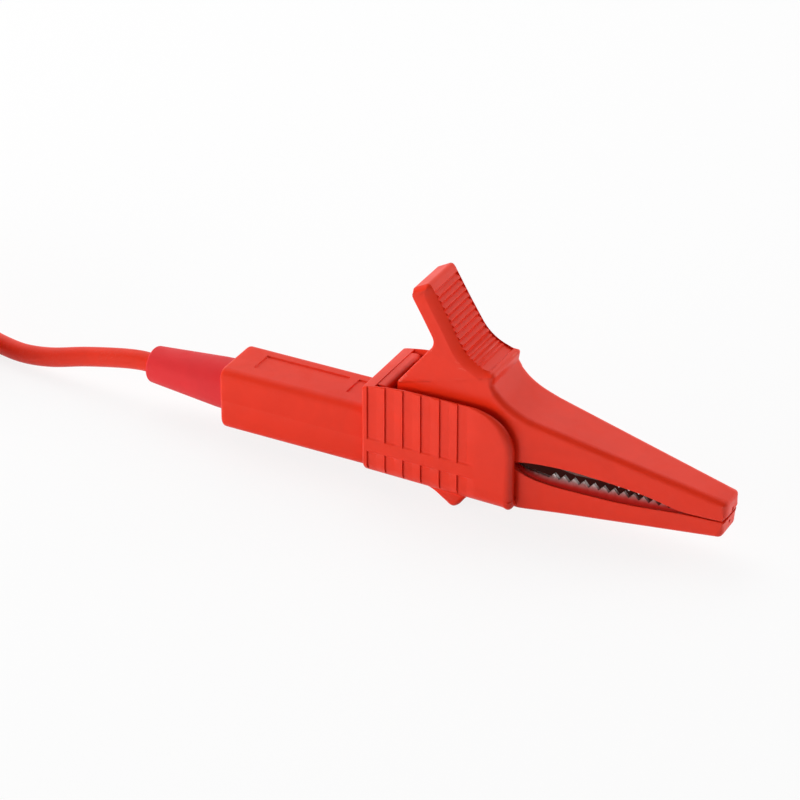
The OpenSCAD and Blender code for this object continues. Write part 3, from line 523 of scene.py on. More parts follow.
def cord_sheath(name, colour, rough):
    """Soft extruded sheath: faint lines along the cord, a slow change of shade and light scuffs."""
    material, tree, shader, along = new_material(name, "along", Specular_IOR_Level=0.25)
    drawn = use(tree, LINES, along, Length=60.0, Spacing=0.45, Width=0.06)
    skin = use(tree, GRAIN, along, Grain=0.3, Flow=9.0)
    slant = turn(tree, along, (0, 0, 1.2))
    scuffs = use(tree, LINES, slant, Length=3.0, Spacing=0.9, Width=0.02)["Lines"]
    tint = blend_colour(tree, skin["Flow shade"], shade(colour, 0.88), shade(colour, 1.08, 0.9))
    tint = blend_colour(tree, calc(tree, "MULTIPLY", scuffs, 0.12), tint, (0.85, 0.25, 0.2, 1))
    dull = calc(tree, "MULTIPLY_ADD", skin["Height"], 0.12, rough - 0.06)
    height = calc(tree, "MULTIPLY_ADD", drawn["Streaks"], 0.7, calc(tree, "MULTIPLY", skin["Height"], 0.3))
    feed(tree, shader, tint, dull, height, 0.02)
    return material


def waves(tree, place, scale, twist, way):
    """Parallel bands across one axis."""
    inputs = {"Vector": place, "Scale": scale, "Distortion": twist}
    return node(tree, "TexWave", inputs, bands_direction=way).outputs["Fac"]


def woven_strap(name, colour, pale):
    """Hook-and-loop strap: a plain weave of two crossed waves, with loose fibres over it."""
    material, tree, shader, place = new_material(name, Sheen_Weight=0.3, Sheen_Roughness=0.5)
    mm = in_mm(tree, place)
    cloth = calc(tree, "MAXIMUM", waves(tree, mm, 0.55, 0.4, "X"), waves(tree, mm, 0.55, 0.4, "Z"))
    fibres = noise(tree, mm, 4.0, 5.0, 0.7, 1.5)
    tint = blend_colour(tree, calc(tree, "MULTIPLY", cloth, fibres), (*colour, 1), (*pale, 1))
    dull = calc(tree, "MULTIPLY_ADD", fibres, 0.25, 0.65)
    feed(tree, shader, tint, dull, calc(tree, "MULTIPLY_ADD", fibres, 0.4, cloth), 0.12)
    return material


def twisted_strands(name, bright, dark):
    """Bare end of a stranded wire: bands that run round it at a slant, dark between the strands."""
    material, tree, shader, place = new_material(name, Metallic=1.0)
    mm = in_mm(tree, place)
    strands = waves(tree, turn(tree, mm, (0, 0.35, 0.5)), 1.1, 0.6, "Z")
    oxide = noise(tree, mm, 1.3, 4.0, 0.6)
    bare = calc(tree, "MULTIPLY", strands, band(tree, oxide, 0.25, 0.6))
    tint = blend_colour(tree, bare, (*dark, 1), (*bright, 1))
    dull = calc(tree, "MULTIPLY_ADD", oxide, 0.3, 0.2)
    feed(tree, shader, tint, dull, strands, 0.08)
    return material


# Pale pink of scratches and edges; on the edges it is partly a painted highlight.
WEAR_AND_HIGHLIGHT_PINK = (0.88, 0.2, 0.15)
red_plastic = moulded("clip_plastic", (0.85, 0.030, 0.006), WEAR_AND_HIGHLIGHT_PINK, rough=0.38, grain=0.45, depth=0.006)
plug_plastic = moulded("plug_plastic", (0.80, 0.036, 0.013), WEAR_AND_HIGHLIGHT_PINK, rough=0.42, grain=0.35, depth=0.006,
                       specular=0.22)
crimson_rubber = moulded("boot_rubber", (0.72, 0.032, 0.036), (0.8, 0.14, 0.14), rough=0.52, grain=0.3,
                         depth=0.012, specular=0.25, wear_and_highlight_amount=0.3)
bush_nylon = moulded("bush_nylon", (0.62, 0.58, 0.50), (0.8, 0.78, 0.72), rough=0.45, grain=0.5, depth=0.008,
                     wear_and_highlight_amount=0.3)
cable_red = moulded("cable_end", (0.80, 0.026, 0.010), WEAR_AND_HIGHLIGHT_PINK, rough=0.44, grain=0.3, depth=0.008)
cord_red = cord_sheath("cord_sheath", (0.80, 0.038, 0.016), rough=0.46)
nickel = metal("nickel", (0.62, 0.60, 0.56), (0.42, 0.39, 0.34), rough=0.24)
spring_steel = metal("spring_wire", (0.52, 0.51, 0.50), (0.30, 0.28, 0.26), rough=0.24, length=30.0,
                     spacing=0.12, depth=0.006, place="along")
gold = metal("gold_plating", (0.88, 0.62, 0.28), (0.70, 0.45, 0.20), rough=0.22, spread=0.12)
copper = twisted_strands("copper_strands", (0.80, 0.40, 0.24), (0.30, 0.12, 0.07))
strap = woven_strap("tie_strap", (0.012, 0.012, 0.014), (0.06, 0.06, 0.065))
# Painted shade on both jaws: dark red-brown with a painted red glow below the lower teeth, and dark above the
# upper teeth.
lower_teeth = jaw_steel("jaw_steel", tip=CLIP_AT[0] + 37.96, unshaded_z=CLIP_AT[2] + 1.6, shaded_z=CLIP_AT[2] - 0.5,
                        shade_tint=(0.32, 0.03, 0.025), painted_glow=(0.22, 0.007, 0.005))
upper_teeth = jaw_steel("jaw_steel_upper", tip=CLIP_AT[0] + 38.9, unshaded_z=CLIP_AT[2] + 1.9,
                        shaded_z=CLIP_AT[2] + 2.5)

# Solids that the scene keeps from the source, with their materials
CARRIED = {"lower_jaw": lower_teeth, "upper_jaw": upper_teeth, "pivot_pin": nickel, "socket": nickel,
           "socket_bush": bush_nylon, "cord_tie": strap}
for end in ("near", "far"):
    CARRIED.update({end + "_contact": nickel, end + "_cage": gold, end + "_conductor": copper,
                    end + "_cable": cable_red})
for solid_name, material in CARRIED.items():
    solid = bpy.data.objects[solid_name]
    solid.data.materials.clear()
    solid.data.materials.append(material)


def ride(piece, body, slot, *nodes):
    """Puts a piece on a body, in the place of the source's nodes, which it hides. slot is not used."""
    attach(piece, body)
    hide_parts(*nodes)
    return piece


# Cord: from the near boot to the hank, round it, and on to the far boot

CORD_R = 2.0
# The drawn cord is this much thinner, so that it stays inside the source's box
CORD_SLACK = 0.012
HANK_AT, HANK_RUN, HANK_LIFT = (-118.0, -5.4), 56.0, 0.5
NEAR_ROUTE = [(-61.55, 0, 8.7), (-65, 0, 8.6), (-70, 0, 7.8), (-78, 0, 6), (-86, 0, 3.8), (-93, 0.6, 2.6),
              (-100, 2.4, 2.1), (-106, 4.5, 2.1), (-112, 6.1, 2.3), (-118, 6.6, 2.5)]
FAR_ROUTE = [(-186, -5.4, 14.5), (-186, -8.7, 14.5), (-186, -12, 14.25), (-184.9, -17.5, 12.76),
             (-181.6, -22.6, 10.25), (-176.5, -26, 8.1), (-171.5, -27, 6.8), (-168.8, -27, 6.5)]
# Places of the hank's turns in its section, each beside the one before: radius of the fold, and layer
TURNS = np.array([(12, 0), (8, 0), (8, 1), (12, 1), (12, 2), (8, 2), (8, 3), (12, 3)], float)
# Mean radius of the folds, and the share of a turn's first fold after which it may shift
FOLD_R, SHIFT_FROM = 10.0, 0.55


def hank_line(step=1.5):
    """The cord's middle in the hank: runs and folds by turns, and once a turn a smooth shift to the next
    place of the section. The last turns shift first, so that each moves into a place that is already free."""
    fold = FOLD_R * math.pi
    loop = 2 * (HANK_RUN + fold)
    full = len(TURNS) - 1
    s = np.arange(0, full * loop + HANK_RUN + fold / 2 + step / 2, step)
    lap = (s // loop).astype(int)
    at = s - lap * loop
    first = HANK_RUN + fold * SHIFT_FROM
    span = (loop - first) / 4
    begin = first + (full - 1 - lap) * span / 2
    f = np.where(lap < full, ease(at, begin, begin + span), 0)[:, None]
    place = TURNS[lap] * (1 - f) + TURNS[np.clip(lap + 1, 0, full)] * f
    r, z = place[:, 0], HANK_LIFT + 2 * CORD_R * place[:, 1] + CORD_R
    out_end, fold_end, back_end, loop_end = np.cumsum([HANK_RUN, fold, HANK_RUN, fold])
    x = HANK_AT[0] - np.clip(at, 0, out_end) + np.clip(at, fold_end, back_end) - fold_end
    folded = np.clip(at, out_end, fold_end) - out_end + np.clip(at, back_end, loop_end) - back_end
    angle = math.pi / 2 + folded / FOLD_R
    return np.stack([x + r * np.cos(angle), HANK_AT[1] + r * np.sin(angle), z], axis=1)


cord_line = np.concatenate([smooth_line(NEAR_ROUTE, 8)[:-1], hank_line()[:-1], smooth_line(FAR_ROUTE, 8)])
cord_tube = Piece().add(tube(cord_line, CORD_R - CORD_SLACK), caps=True, along=tube_along(cord_line, CORD_R))
cord = ride(cord_tube.finish("cord", cord_red), "lead", "cord_sheath", "cord_near", "cord_coil", "cord_far")


# Clip covers

WALL = 1.45
# Half the width of the upper cover and the jaws at their root, its loss for each millimetre past a place, and
# its loss up the lever
JAW_HALF, TAPER, TAPER_FROM, LEVER_LOSS = 6.2, 0.0762, 32.5, 0.55
# The lever's end: its back corner, the direction down the lever, and the round that draws the sides in
LEVER_END, LEVER_DOWN, LEVER_ROUND = (8.9, 33.85), (0.492, -0.871), 0.7
# The upper jaw's top: its height at x 0 and its fall for each millimetre
JAW_TOP, JAW_FALL = 20.11, 0.2196


def half_width(xz):
    """Half the width of the upper cover and the jaws: narrower towards the tip, and a little up the lever,
    whose end is drawn in by a quarter circle."""
    x, z = xz[..., 0], xz[..., 1]
    below = LEVER_DOWN[0] * (x - LEVER_END[0]) + LEVER_DOWN[1] * (z - LEVER_END[1])
    near_end = np.clip(LEVER_ROUND - below, 0, LEVER_ROUND)
    drawn_in = LEVER_ROUND - np.sqrt(LEVER_ROUND ** 2 - near_end ** 2)
    return JAW_HALF - TAPER * np.clip(x - TAPER_FROM, 0, None) - LEVER_LOSS * ease(z, 16, 30) - drawn_in


def jaw_top(x):
    """A point of the upper jaw's top."""
    return x, JAW_TOP - JAW_FALL * x


def edge_rim(radius, wall, slope):
    """Section of a free edge: a quarter circle from the outer face, then down a slope to the inner side."""
    a = np.radians([0, 18, 36, 54, 72, 90])
    share = radius / wall
    return np.concatenate([np.stack([share * (1 - np.cos(a)), radius * (1 - np.sin(a))], axis=1),
                           [((1 + share) / 2, 0.4 * slope), (1, slope)]])


# Pad on the lever: ten wide ribs and four narrow, lower ones, by their first place and pitch along it
WIDE_RIBS, WIDE_FROM, WIDE_PITCH = 10, 1.3, 1.275
NARROW_RIBS, NARROW_FROM, NARROW_PITCH, NARROW_HIGH = 4, WIDE_FROM + WIDE_RIBS * WIDE_PITCH, 0.9, 0.6
RIB_HIGH, RIB_RISE, PAD_DEEP = 0.58, 0.64, 0.4
DIMPLE_DEEP, DIMPLE_FLAT, DIMPLE_R = 0.4, 0.3, 0.42


def rib_height(s):
    """Height of the pad's ribs at a length s along it, 0 to 1: each rises slowly and falls steeply."""
    wide, narrow = (s - WIDE_FROM) / WIDE_PITCH, (s - NARROW_FROM) / NARROW_PITCH
    phase = np.where(wide < WIDE_RIBS, wide % 1, narrow % 1)
    saw = np.minimum(phase / RIB_RISE, (1 - phase) / (1 - RIB_RISE))
    on_pad = (wide > 0) & (narrow < NARROW_RIBS)
    return np.where(on_pad, saw * np.where(wide < WIDE_RIBS, 1, NARROW_HIGH), 0)


def dimple(q, half, s, middle):
    """Height of the round dimple in a jaw's end face, at a share q of the face's half width and a length s:
    a flat floor with a wall that slopes out to its rim."""
    return -DIMPLE_DEEP * (1 - ease(np.hypot(q * half, s - middle), DIMPLE_FLAT, DIMPLE_R))


def nearest(line, s, point):
    """Length along a line at the point of it that lies nearest to another."""
    return s[np.argmin(np.linalg.norm(line - point, axis=1))]


def mirrored_shares(shares):
    """Shares of a half width, mirrored to both sides of 0."""
    return np.concatenate([-np.array(shares)[::-1], [0], shares])


# Stations of the upper cover: the lever's end, the pad's straight and hollow stretches, the lip's round and
# back, the jaw's top and its tip
UPPER_COUNTS = [26, 200, 190, 12, 40, 50, 50]
PAD_STATIONS = sum(UPPER_COUNTS[:3])


def upper_lines():
    """The upper cover's lines in the x-z plane, from the lever's end over the pad and the lip to the jaw's
    tip: the web's outside, the walls' free edges and the web's inside."""
    web = joined([
        round_corners([(8.95, 33.0), LEVER_END, (12.25, 35.71), (12.85, 34.95)], [0.8, 0.75]),
        [(12.85, 34.95), (18.4, 25.4)],
        round_corners([(18.4, 25.4), (20.85, 21.13), (25.3, 20.55)], [8.9], 16),
        round_corners([(25.3, 20.55), (26.3, 20.43), (26.12, 19.3)], [0.72]),
        np.concatenate([[(26.12, 19.3), (25.96, 18.3)],
                        smooth_line([(25.96, 18.1), (26.75, 16.95), (28.35, 15.35), (30.4, 14.05),
                                     (32.5, 13.15), jaw_top(34.5)])]),
        [jaw_top(34.5), jaw_top(70.6)],
        round_corners([jaw_top(70.6), jaw_top(71.99), (71.95, 1.3), (71.3, 0.7)], [1.0, 0.6]),
    ], UPPER_COUNTS)
    free = joined([
        [(9.1, 32.45), (9.3, 31.95)],
        [(9.3, 31.95), (12.15, 27.05)],
        round_corners([(12.15, 27.05), (14.05, 23.85), (6.5, 14.4)], [2.2]),
        [(6.5, 14.4), (6.4, 14.2)],
        round_corners([(6.4, 14.2), (6.3, 12.2), (22, 3.0), (29.0, 3.0), (30.47, 3.28)], [1.2, 3, 2]),
        smooth_line([(30.47, 3.28), (32.83, 3.84), (36.77, 4.14), (41.68, 4.14), (47.54, 3.62), (51.44, 3.17),
                     (55.32, 2.62), (59.2, 1.75), (63.09, 0.8), (66.91, 0.6), (70.2, 0.57)]),
        [(70.2, 0.57), (71.25, 0.57)],
    ], UPPER_COUNTS)
    under_top, under_tip = np.array([jaw_top(34.5), jaw_top(70.0)]) - [0, WALL]
    inner = joined([
        [(10.3, 32.3), (11.6, 33.2)],
        [(11.6, 33.2), (17.0, 24.7)],
        round_corners([(17.0, 24.7), (19.7, 19.9), (24.2, 19.1)], [10.6], 16),
        [(24.2, 19.1), (24.7, 18.6)],
        smooth_line([(24.7, 18.6), (25.0, 16.6), (26.6, 14.4), (29.9, 12.35), under_top]),
        [under_top, under_tip],
        [under_tip, (70.4, 1.0)],
    ], UPPER_COUNTS)
    return web, free, inner


def upper_cover():
    """Cheeks, lever with its ribbed pad, and upper jaw: a channel open below and behind. Lengths s along the
    web count from the pad's top."""
    web, free, inner = upper_lines()
    x, z = web.T
    s = lengths(web)
    s -= s[UPPER_COUNTS[0]]
    # Shares of the stretches that have other roundings than the jaw's top
    end = 1 - ease(s, -1.2, 1.6)
    lip = np.exp(-((x - 26.2) / 1.1) ** 2) * (z > 17)
    lever = 1 - ease(s, 18, 21)
    tip = ease(x, 69, 71.5)
    round_n = 1.28 + 0.7 * lever - 1.2 * end - 0.45 * lip - 0.35 * tip
    round_y = 1.35 - 0.4 * lever + 0.3 * tip
    bevel = 0.8 * lever * (1 - lip)
    across = mirrored_shares([0.1, 0.16, 0.2, 0.24, 0.28, 0.5, 0.75, 0.9, 0.928, 0.944, 0.962, 0.985, 1])
    dimple_at, tip_half = nearest(web, s, (72.1, 1.85)), 1.55
    pad_end = s[PAD_STATIONS]
    span = ease(s, 0.9, 1.25) * (1 - ease(s, pad_end - 0.6, pad_end - 0.25))

    def pad(q):
        """The pad lies in a shallow recess, and its ribs stop a little before the recess's sides."""
        recess = 1 - ease(np.abs(q), 0.985, 1)
        ribs = 1 - ease(np.abs(q), 0.928, 0.944)
        height = RIB_HIGH * rib_height(s)[:, None] * ribs - PAD_DEEP * recess
        return span[:, None] * height + dimple(q, tip_half, s[:, None], dimple_at)

    rear = 1 - ease(np.arange(len(web)), PAD_STATIONS + 6, PAD_STATIONS + 20)
    rim = np.stack([edge_rim(0.15 + 0.25 * w, WALL, 0.4) for w in rear])
    up = np.concatenate([[0, 0.015], np.linspace(0.08, 0.9, 10), [0.985]])
    wall = np.full(len(web), WALL)
    return channel(web, free, inner, 1, half_width, wall, round_y, round_n, rim, up, across, bevel,
                   on_web=pad)


upper_shell = Piece().add(upper_cover(), CLIP_AT, caps=True)
ride(upper_shell.finish("upper_shell", red_plastic), "jaw", "clip_plastic", "upper_cover")

# Grip grooves: where each begins, then the ends of its slot, of its level stretch and of its rise, and depths
GROOVES = np.array([1.06, 4.87, 8.65, 12.41, 16.37, 20.09])
GROOVE_SLOT, GROOVE_FLAT, GROOVE_END, GROOVE_DEEP, SLOT_DEEP = 0.25, 1.9, 3.6, 0.26, 0.08
# Collar: half its width, its walls and floor, and the round of its back edge
COLLAR_HALF, COLLAR_WALL, COLLAR_FLOOR, BACK_ROUND = 8.6, 1.55, 1.45, 0.55
# Front of the collar's sides: a quarter ellipse by its middle and radii, with a wall that grows thicker
FRONT_AT, FRONT_R, FRONT_EXTRA = (22.9, 5.6), (8.45, 8.48), 0.8


def grooves(x, z):
    """Height of the collar's grip grooves, in two rows: each falls in a step, runs level and rises again."""
    ahead = np.asarray(x)[..., None] - GROOVES
    level = np.where((ahead >= 0) & (ahead < GROOVE_END), GROOVE_DEEP, 0)
    rise = np.clip((ahead - GROOVE_FLAT) / (GROOVE_END - GROOVE_FLAT), 0, 1)
    level = level - GROOVE_DEEP * rise * (level > 0)
    slot = SLOT_DEEP * ((ahead >= 0) & (ahead < GROOVE_SLOT))
    rows = ease(z, 1.5, 1.9) + ease(z, -5.6, -4.8) * (1 - ease(z, -1.3, -1.0))
    return -(level + slot).max(axis=-1) * rows


def collar_lines():
    """The collar's lines in the x-z plane: the bottom's outside and the sides' top edges, which fold down in
    a quarter ellipse at the front until both meet in a seam. Also the number of stations before that fold."""
    breaks = ((0, 0.01), (GROOVE_SLOT, 0.01), (GROOVE_FLAT, 0.02))
    marks = [place + way * near for place, near in breaks for way in (-1, 1)] + [2.8]
    back_edge, before_fold = [0, 0.02, 0.08, 0.16, 0.28, 0.42, BACK_ROUND], [22.3]
    steps = np.sort(np.concatenate([back_edge, before_fold] + [GROOVES + m for m in marks]))
    top = smooth_line([(0, 12.6), (2, 13.05), (5.08, 13.56), (8.23, 13.86), (12, 14.0), (16.57, 14.06),
                       (22.9, 14.08)])
    top_z = np.interp(steps, top[:, 0], top[:, 1])
    bottom_z = -6.04 - 0.46 * steps / 31
    a = np.linspace(0, math.pi / 2, 24)
    fold = np.stack([FRONT_AT[0] + FRONT_R[0] * np.sin(a), FRONT_AT[1] + FRONT_R[1] * np.cos(a)], axis=1)
    x = FRONT_AT[0] + FRONT_R[0]
    front = [fold, [fold[-1], (x, 2.0)], [(x, 2.0), (x, -3.7)], [(x, -3.7), (x, -4.28)]]
    under = [[(22.9, -6.38), (28.6, -6.47)], [(28.6, -6.47), (29.6, -6.48)],
             round_corners([(29.6, -6.48), (x - 0.02, -6.5), (x, -4.9)], [1.4]), [(x, -4.9), (x, -4.32)]]
    counts = [22, 6, 14, 3]
    free = np.concatenate([np.stack([steps, top_z], axis=1)[:-1], joined(front, counts)])
    web = np.concatenate([np.stack([steps, bottom_z], axis=1)[:-1], joined(under, counts)])
    return web, free, len(steps) - 1


def collar():
    """Collar: a channel open above, with round edges at its back and front and rows of grip grooves on its
    sides. At the back every point is drawn in towards the middle by a quarter circle."""
    web, free, before = collar_lines()
    inner = web + [0, COLLAR_FLOOR]
    inner[:, 0] = np.minimum(inner[:, 0], 29.8)
    folded = np.arange(len(web)) - before
    front = ease(folded, 2, 16)
    wall = COLLAR_WALL + FRONT_EXTRA * front
    # Heights of the points down the sides, close together at the ends of the grooves' two rows
    z_rows = np.array([13.3, 11, 9, 6, 3.5, 2.0, 1.9, 1.7, 1.5, 1.4,
                       0.3, -0.9, -1.0, -1.15, -1.3, -2.4, -3.4])
    low, high = free[:, 1] - 0.5, web[:, 1] + 2.4
    up = np.clip((low[:, None] - z_rows) / (low - high)[:, None], 0, 0.99)
    spread = np.clip(folded / 8, 0, 1)[:, None]
    up = up * (1 - spread) + np.linspace(0, 0.97, len(z_rows)) * spread
    rim = np.stack([edge_rim(0.5 + 0.9 * w, COLLAR_WALL + FRONT_EXTRA * w, 1.3 - 0.3 * w) for w in front])
    rounding = 2.4 - 1.0 * ease(web[:, 0], 29, 31.2)
    shell = channel(web, free, inner, -1, lambda xz: np.full(xz.shape[:-1], COLLAR_HALF), wall, rounding,
                    rounding, rim, up, np.linspace(-1, 1, 9), slack=0.02, on_side=grooves)
    near_back = np.clip(BACK_ROUND - shell[..., 0], 0, BACK_ROUND)
    drawn_in = BACK_ROUND - np.sqrt(BACK_ROUND ** 2 - near_back ** 2)
    middle, half_high = 3.2, 9.4
    shell[..., 1] *= 1 - drawn_in / COLLAR_HALF
    shell[..., 2] -= (shell[..., 2] - middle) * drawn_in / half_high
    return shell


def lower_jaw():
    """Lower plastic jaw: a channel open above, from inside the collar to the tip."""
    counts = [10, 60, 20, 24]
    web = joined([[(27.5, -6.4), (31.6, -6.56)],
                  smooth_line([(31.6, -6.56), (39.98, -5.71), (47.83, -5.07), (57.53, -4.27), (67.11, -3.49),
                               (69.6, -3.28)]),
                  round_corners([(69.6, -3.28), (71.3, -3.15), (71.4, -1.6)], [1.2]),
                  [(71.4, -1.6), (71.5, 0.0)]], counts)
    free = joined([[(27.5, 3.2), (30.48, 2.2)],
                   smooth_line([(30.48, 2.3), (33.89, 0.9), (37.0, 0.3), (40.3, 0.02), (43.6, -0.1),
                                (46.9, -0.2), (50.1, -0.3), (55.0, -0.2), (60.0, 0.1), (63.5, 0.27),
                                (66.91, 0.3), (69.4, 0.31)]),
                   [(69.4, 0.31), (70.6, 0.31)], [(70.6, 0.31), (71.4, 0.31)]], counts)
    inner = joined([[(27.5, -4.9), (31.6, -5.06)],
                    [(31.6, -5.06), (39.98, -4.21), (47.83, -3.57), (57.53, -2.77), (67.11, -1.99),
                     (69.4, -1.8)],
                    [(69.4, -1.8), (69.7, -1.0)], [(69.7, -1.0), (70.2, 0.0)]], counts)
    n = len(web)
    mouth = ease(web[:, 0], 31.5, 34) * (1 - ease(web[:, 0], 60, 66))
    rim = np.stack([edge_rim(0.12, WALL, 0.25 + 0.35 * m) for m in mouth])
    s = lengths(web)
    dimple_at, tip_half = nearest(web, s, (71.2, -1.0)), 2.25
    across = mirrored_shares([0.08, 0.12, 0.15, 0.18, 0.22, 0.5, 0.75, 1])
    up = np.concatenate([[0, 0.03], np.linspace(0.15, 0.85, 5), [0.97]])
    wall, round_y, round_n = np.full(n, WALL), np.full(n, 1.0), np.full(n, 0.9)
    return channel(web, free, inner, -1, half_width, wall, round_y, round_n, rim, up, across,
                   on_web=lambda q: dimple(q, tip_half, s[:, None], dimple_at))


# Radius of the barrel's bore, which takes the plug's sheath
BORE_R = 4.4


def back_wall():
    """Back plate of the collar: rings from the barrel's bore out to a rectangle, on both faces."""
    a = np.linspace(0, 2 * math.pi, 96, endpoint=False)
    c, s = np.cos(a), np.sin(a)
    half, above, below, back, front = 7.6, 11.8, 5.2, 0.02, 2.0
    to_side = half / np.maximum(np.abs(c), 1e-6)
    to_end = np.where(s > 0, above, below) / np.maximum(np.abs(s), 1e-6)
    out = np.minimum(to_side, to_end)
    bore = np.full(96, BORE_R)
    rings = [(0.25, bore), (0.07, bore + 0.06), (back, bore + 0.25), (back, out), (front, out), (front, bore)]
    return np.stack([np.stack([np.full(96, x), r * c, r * s], axis=1) for x, r in rings], axis=1)


def bridge():
    """Bridge over the collar's back: a wide band that runs out into the collar's sides, and a lower plate
    with a round front edge between them."""
    band_line = round_corners([(0.1, 11.2), (0.1, 12.66), (2.62, 13.16), (2.66, 12.4)], [0.5, 0.1], 6)
    plate_line = round_corners([(2.4, 12.3), (2.42, 12.98), (4.65, 13.1), (4.65, 11.4)], [0.05, 0.85], 8)
    return (slab(np.concatenate([band_line, [(2.66, 11.2)]]), 8.3, 0.3),
            slab(np.concatenate([plate_line, [(4.2, 11.2), (0.4, 11.2)]]), 6.95, 0.25))


def barrel():
    """Barrel round the plug's sheath: a ring with a round front edge, turned about the axis."""
    return turned([(0.3, BORE_R), (0.3, 5.5), (23.6, 5.5), (23.9, 5.4), (24.0, 5.2), (24.0, 4.6),
                   (23.9, BORE_R), (0.3, BORE_R)])


def finger_stop():
    """Finger stop under the collar: a ramp, a round nose and a steep front, extruded across and a little
    wider at the nose."""
    ramp = smooth_line([(10.0, -5.5), (12.2, -6.15), (14.89, -6.8), (17.02, -7.65), (18.08, -8.4),
                        (18.75, -8.65), (19.4, -8.55), (20.18, -7.98), (21.01, -6.9), (21.7, -6.2)], 6)
    stop = slab(np.concatenate([ramp, [(21.7, -4.3), (10.0, -4.3)]]), 8.1, 0.8)
    stop[..., 1] *= 0.88 + 0.12 * ease(-stop[..., 2], 6.0, 7.6)
    return stop


lower_shell = Piece()
lower_shell.add(collar(), CLIP_AT, caps=True)
lower_shell.add(lower_jaw(), CLIP_AT, caps=True)
lower_shell.add(back_wall(), CLIP_AT, wrap_rows=True)
for plate in bridge():
    lower_shell.add(plate, CLIP_AT, caps=True)
lower_shell.add(barrel(), CLIP_AT)
lower_shell.add(finger_stop(), CLIP_AT, caps=True)
ride(lower_shell.finish("lower_shell", red_plastic), "clip", "clip_plastic", "lower_cover")


# Plugs

HOUSING_LEN, HOUSING_W, HOUSING_H = 32.3, 12.6, 13.0
HOUSING_ROUND, HOUSING_EDGE, MOULD_LINE = 1.8, 1.0, 0.04
# Windows in the housing's top: their ends along x, the middle and half of their width, depth and slopes
WINDOWS = ((-26.6, -8.4), (-6.4, -2.5))
WINDOW_MID, WINDOW_HALF, WINDOW_DEEP, END_SLOPE, SIDE_SLOPE = 0.5, 2.62, 0.3, 0.09, 0.08
BOOT_LEN, BOOT_GAP, BOOT_BORE = 18.5, 0.05, 1.95


def housing():
    """Plug housing: a rounded rectangle carried along x and drawn in at both ends by a quarter circle,
    with two shallow windows in the top and a faint mould line on the sides."""
    r, edge = HOUSING_ROUND, HOUSING_EDGE
    w, h = HOUSING_W / 2 - MOULD_LINE, HOUSING_H / 2
    bend = np.linspace(0, math.pi / 2, 9)[1:-1]
    corner = np.stack([w - r + r * np.cos(bend), h - r + r * np.sin(bend)], axis=1)
    side_z = np.array([r - h, r - h + 0.12, -2.5, -0.16, -0.05, 0.05, 0.16, 2.5, h - r - 0.12, h - r])
    right = np.stack([np.full(len(side_z), w), side_z], axis=1)
    pane = WINDOW_HALF + np.array([-0.5, -SIDE_SLOPE, SIDE_SLOPE, 0.5])
    top_y = np.concatenate([[w - r, w - r - 0.12], WINDOW_MID + pane[::-1], [1.2, -0.2], WINDOW_MID - pane,
                            [r - w + 0.12, r - w]])
    top = np.stack([top_y, np.full(len(top_y), h)], axis=1)
    ring = np.concatenate([right, corner, top, (corner * [-1, 1])[::-1], (right * [-1, 1])[::-1],
                           corner * [-1, -1], (top * [1, -1])[::-1], (corner * [1, -1])[::-1]])
    quarter = edge * (1 - np.cos(np.linspace(0, math.pi / 2, 7)))
    marks = [m + d for pair in WINDOWS for m in pair for d in (-END_SLOPE, END_SLOPE)]
    x = np.sort(np.concatenate([quarter - HOUSING_LEN, marks, [-29, -21, -17.2, -13, -7.4, -4.4], -quarter]))
    near_end = np.clip(edge - np.minimum(-x, x + HOUSING_LEN), 0, edge)
    inset = (edge - np.sqrt(edge ** 2 - near_end ** 2))[:, None]
    y, z = ring[None, :, 0] * (1 - inset / w), ring[None, :, 1] * (1 - inset / h)
    along = sum(ease(x, b - END_SLOPE, b + END_SLOPE) * (1 - ease(x, e - END_SLOPE, e + END_SLOPE))
                for b, e in WINDOWS)[:, None]
    across = 1 - ease(np.abs(y - WINDOW_MID), WINDOW_HALF - SIDE_SLOPE, WINDOW_HALF + SIDE_SLOPE)
    on_top = (ring[:, 1] > h - 1e-6)[None]
    z = z - on_top * WINDOW_DEEP * along * across
    on_side = (np.abs(ring[:, 1]) < 0.1) & (np.abs(ring[:, 0]) > w - 0.1)
    y = y + np.sign(y) * MOULD_LINE * on_side[None]
    return np.stack([np.broadcast_to(x[:, None], y.shape), y, z], axis=-1)


def sheath():
    """Fixed sheath round the contact pin: a ring of wall 0.8 with round edges at its mouth."""
    return turned([(-0.2, 3.3), (-0.2, 4.1), (20.2, 4.1), (20.42, 4.0), (20.5, 3.8), (20.5, 3.6),
                   (20.42, 3.4), (20.2, 3.3), (-0.2, 3.3)])


def boot():
    """Bend relief: a cone with a round tail, turned about the axis."""
    tail, face = -HOUSING_LEN - BOOT_LEN, -HOUSING_LEN - BOOT_GAP
    cone = round_corners([(tail, 2.6), (tail, 3.66), (-35.2, 5.02), (face, 5.15)], [0.7, 2])
    return turned(np.concatenate([[(tail, BOOT_BORE)], cone, [(face, BOOT_BORE), (tail, BOOT_BORE)]]))


for end, at in (("near", NEAR_AT), ("far", FAR_AT)):
    shell = Piece().add(housing(), at, caps=True).add(sheath(), at)
    ride(shell.finish(end + "_shell", plug_plastic), "lead", "plug_plastic", end + "_housing")
    relief = Piece().add(boot(), at)
    ride(relief.finish(end + "_relief", crimson_rubber), "lead", "boot_rubber", end + "_boot")


# Spring: the coil and its leg on the barrel stay with the clip, the other leg turns with the jaw

WIRE_R, COIL_R, COIL_TURNS, COIL_HALF = 0.45, 1.9, 59 / 16, 2.0
PIVOT_X, PIVOT_Z = 24, 9


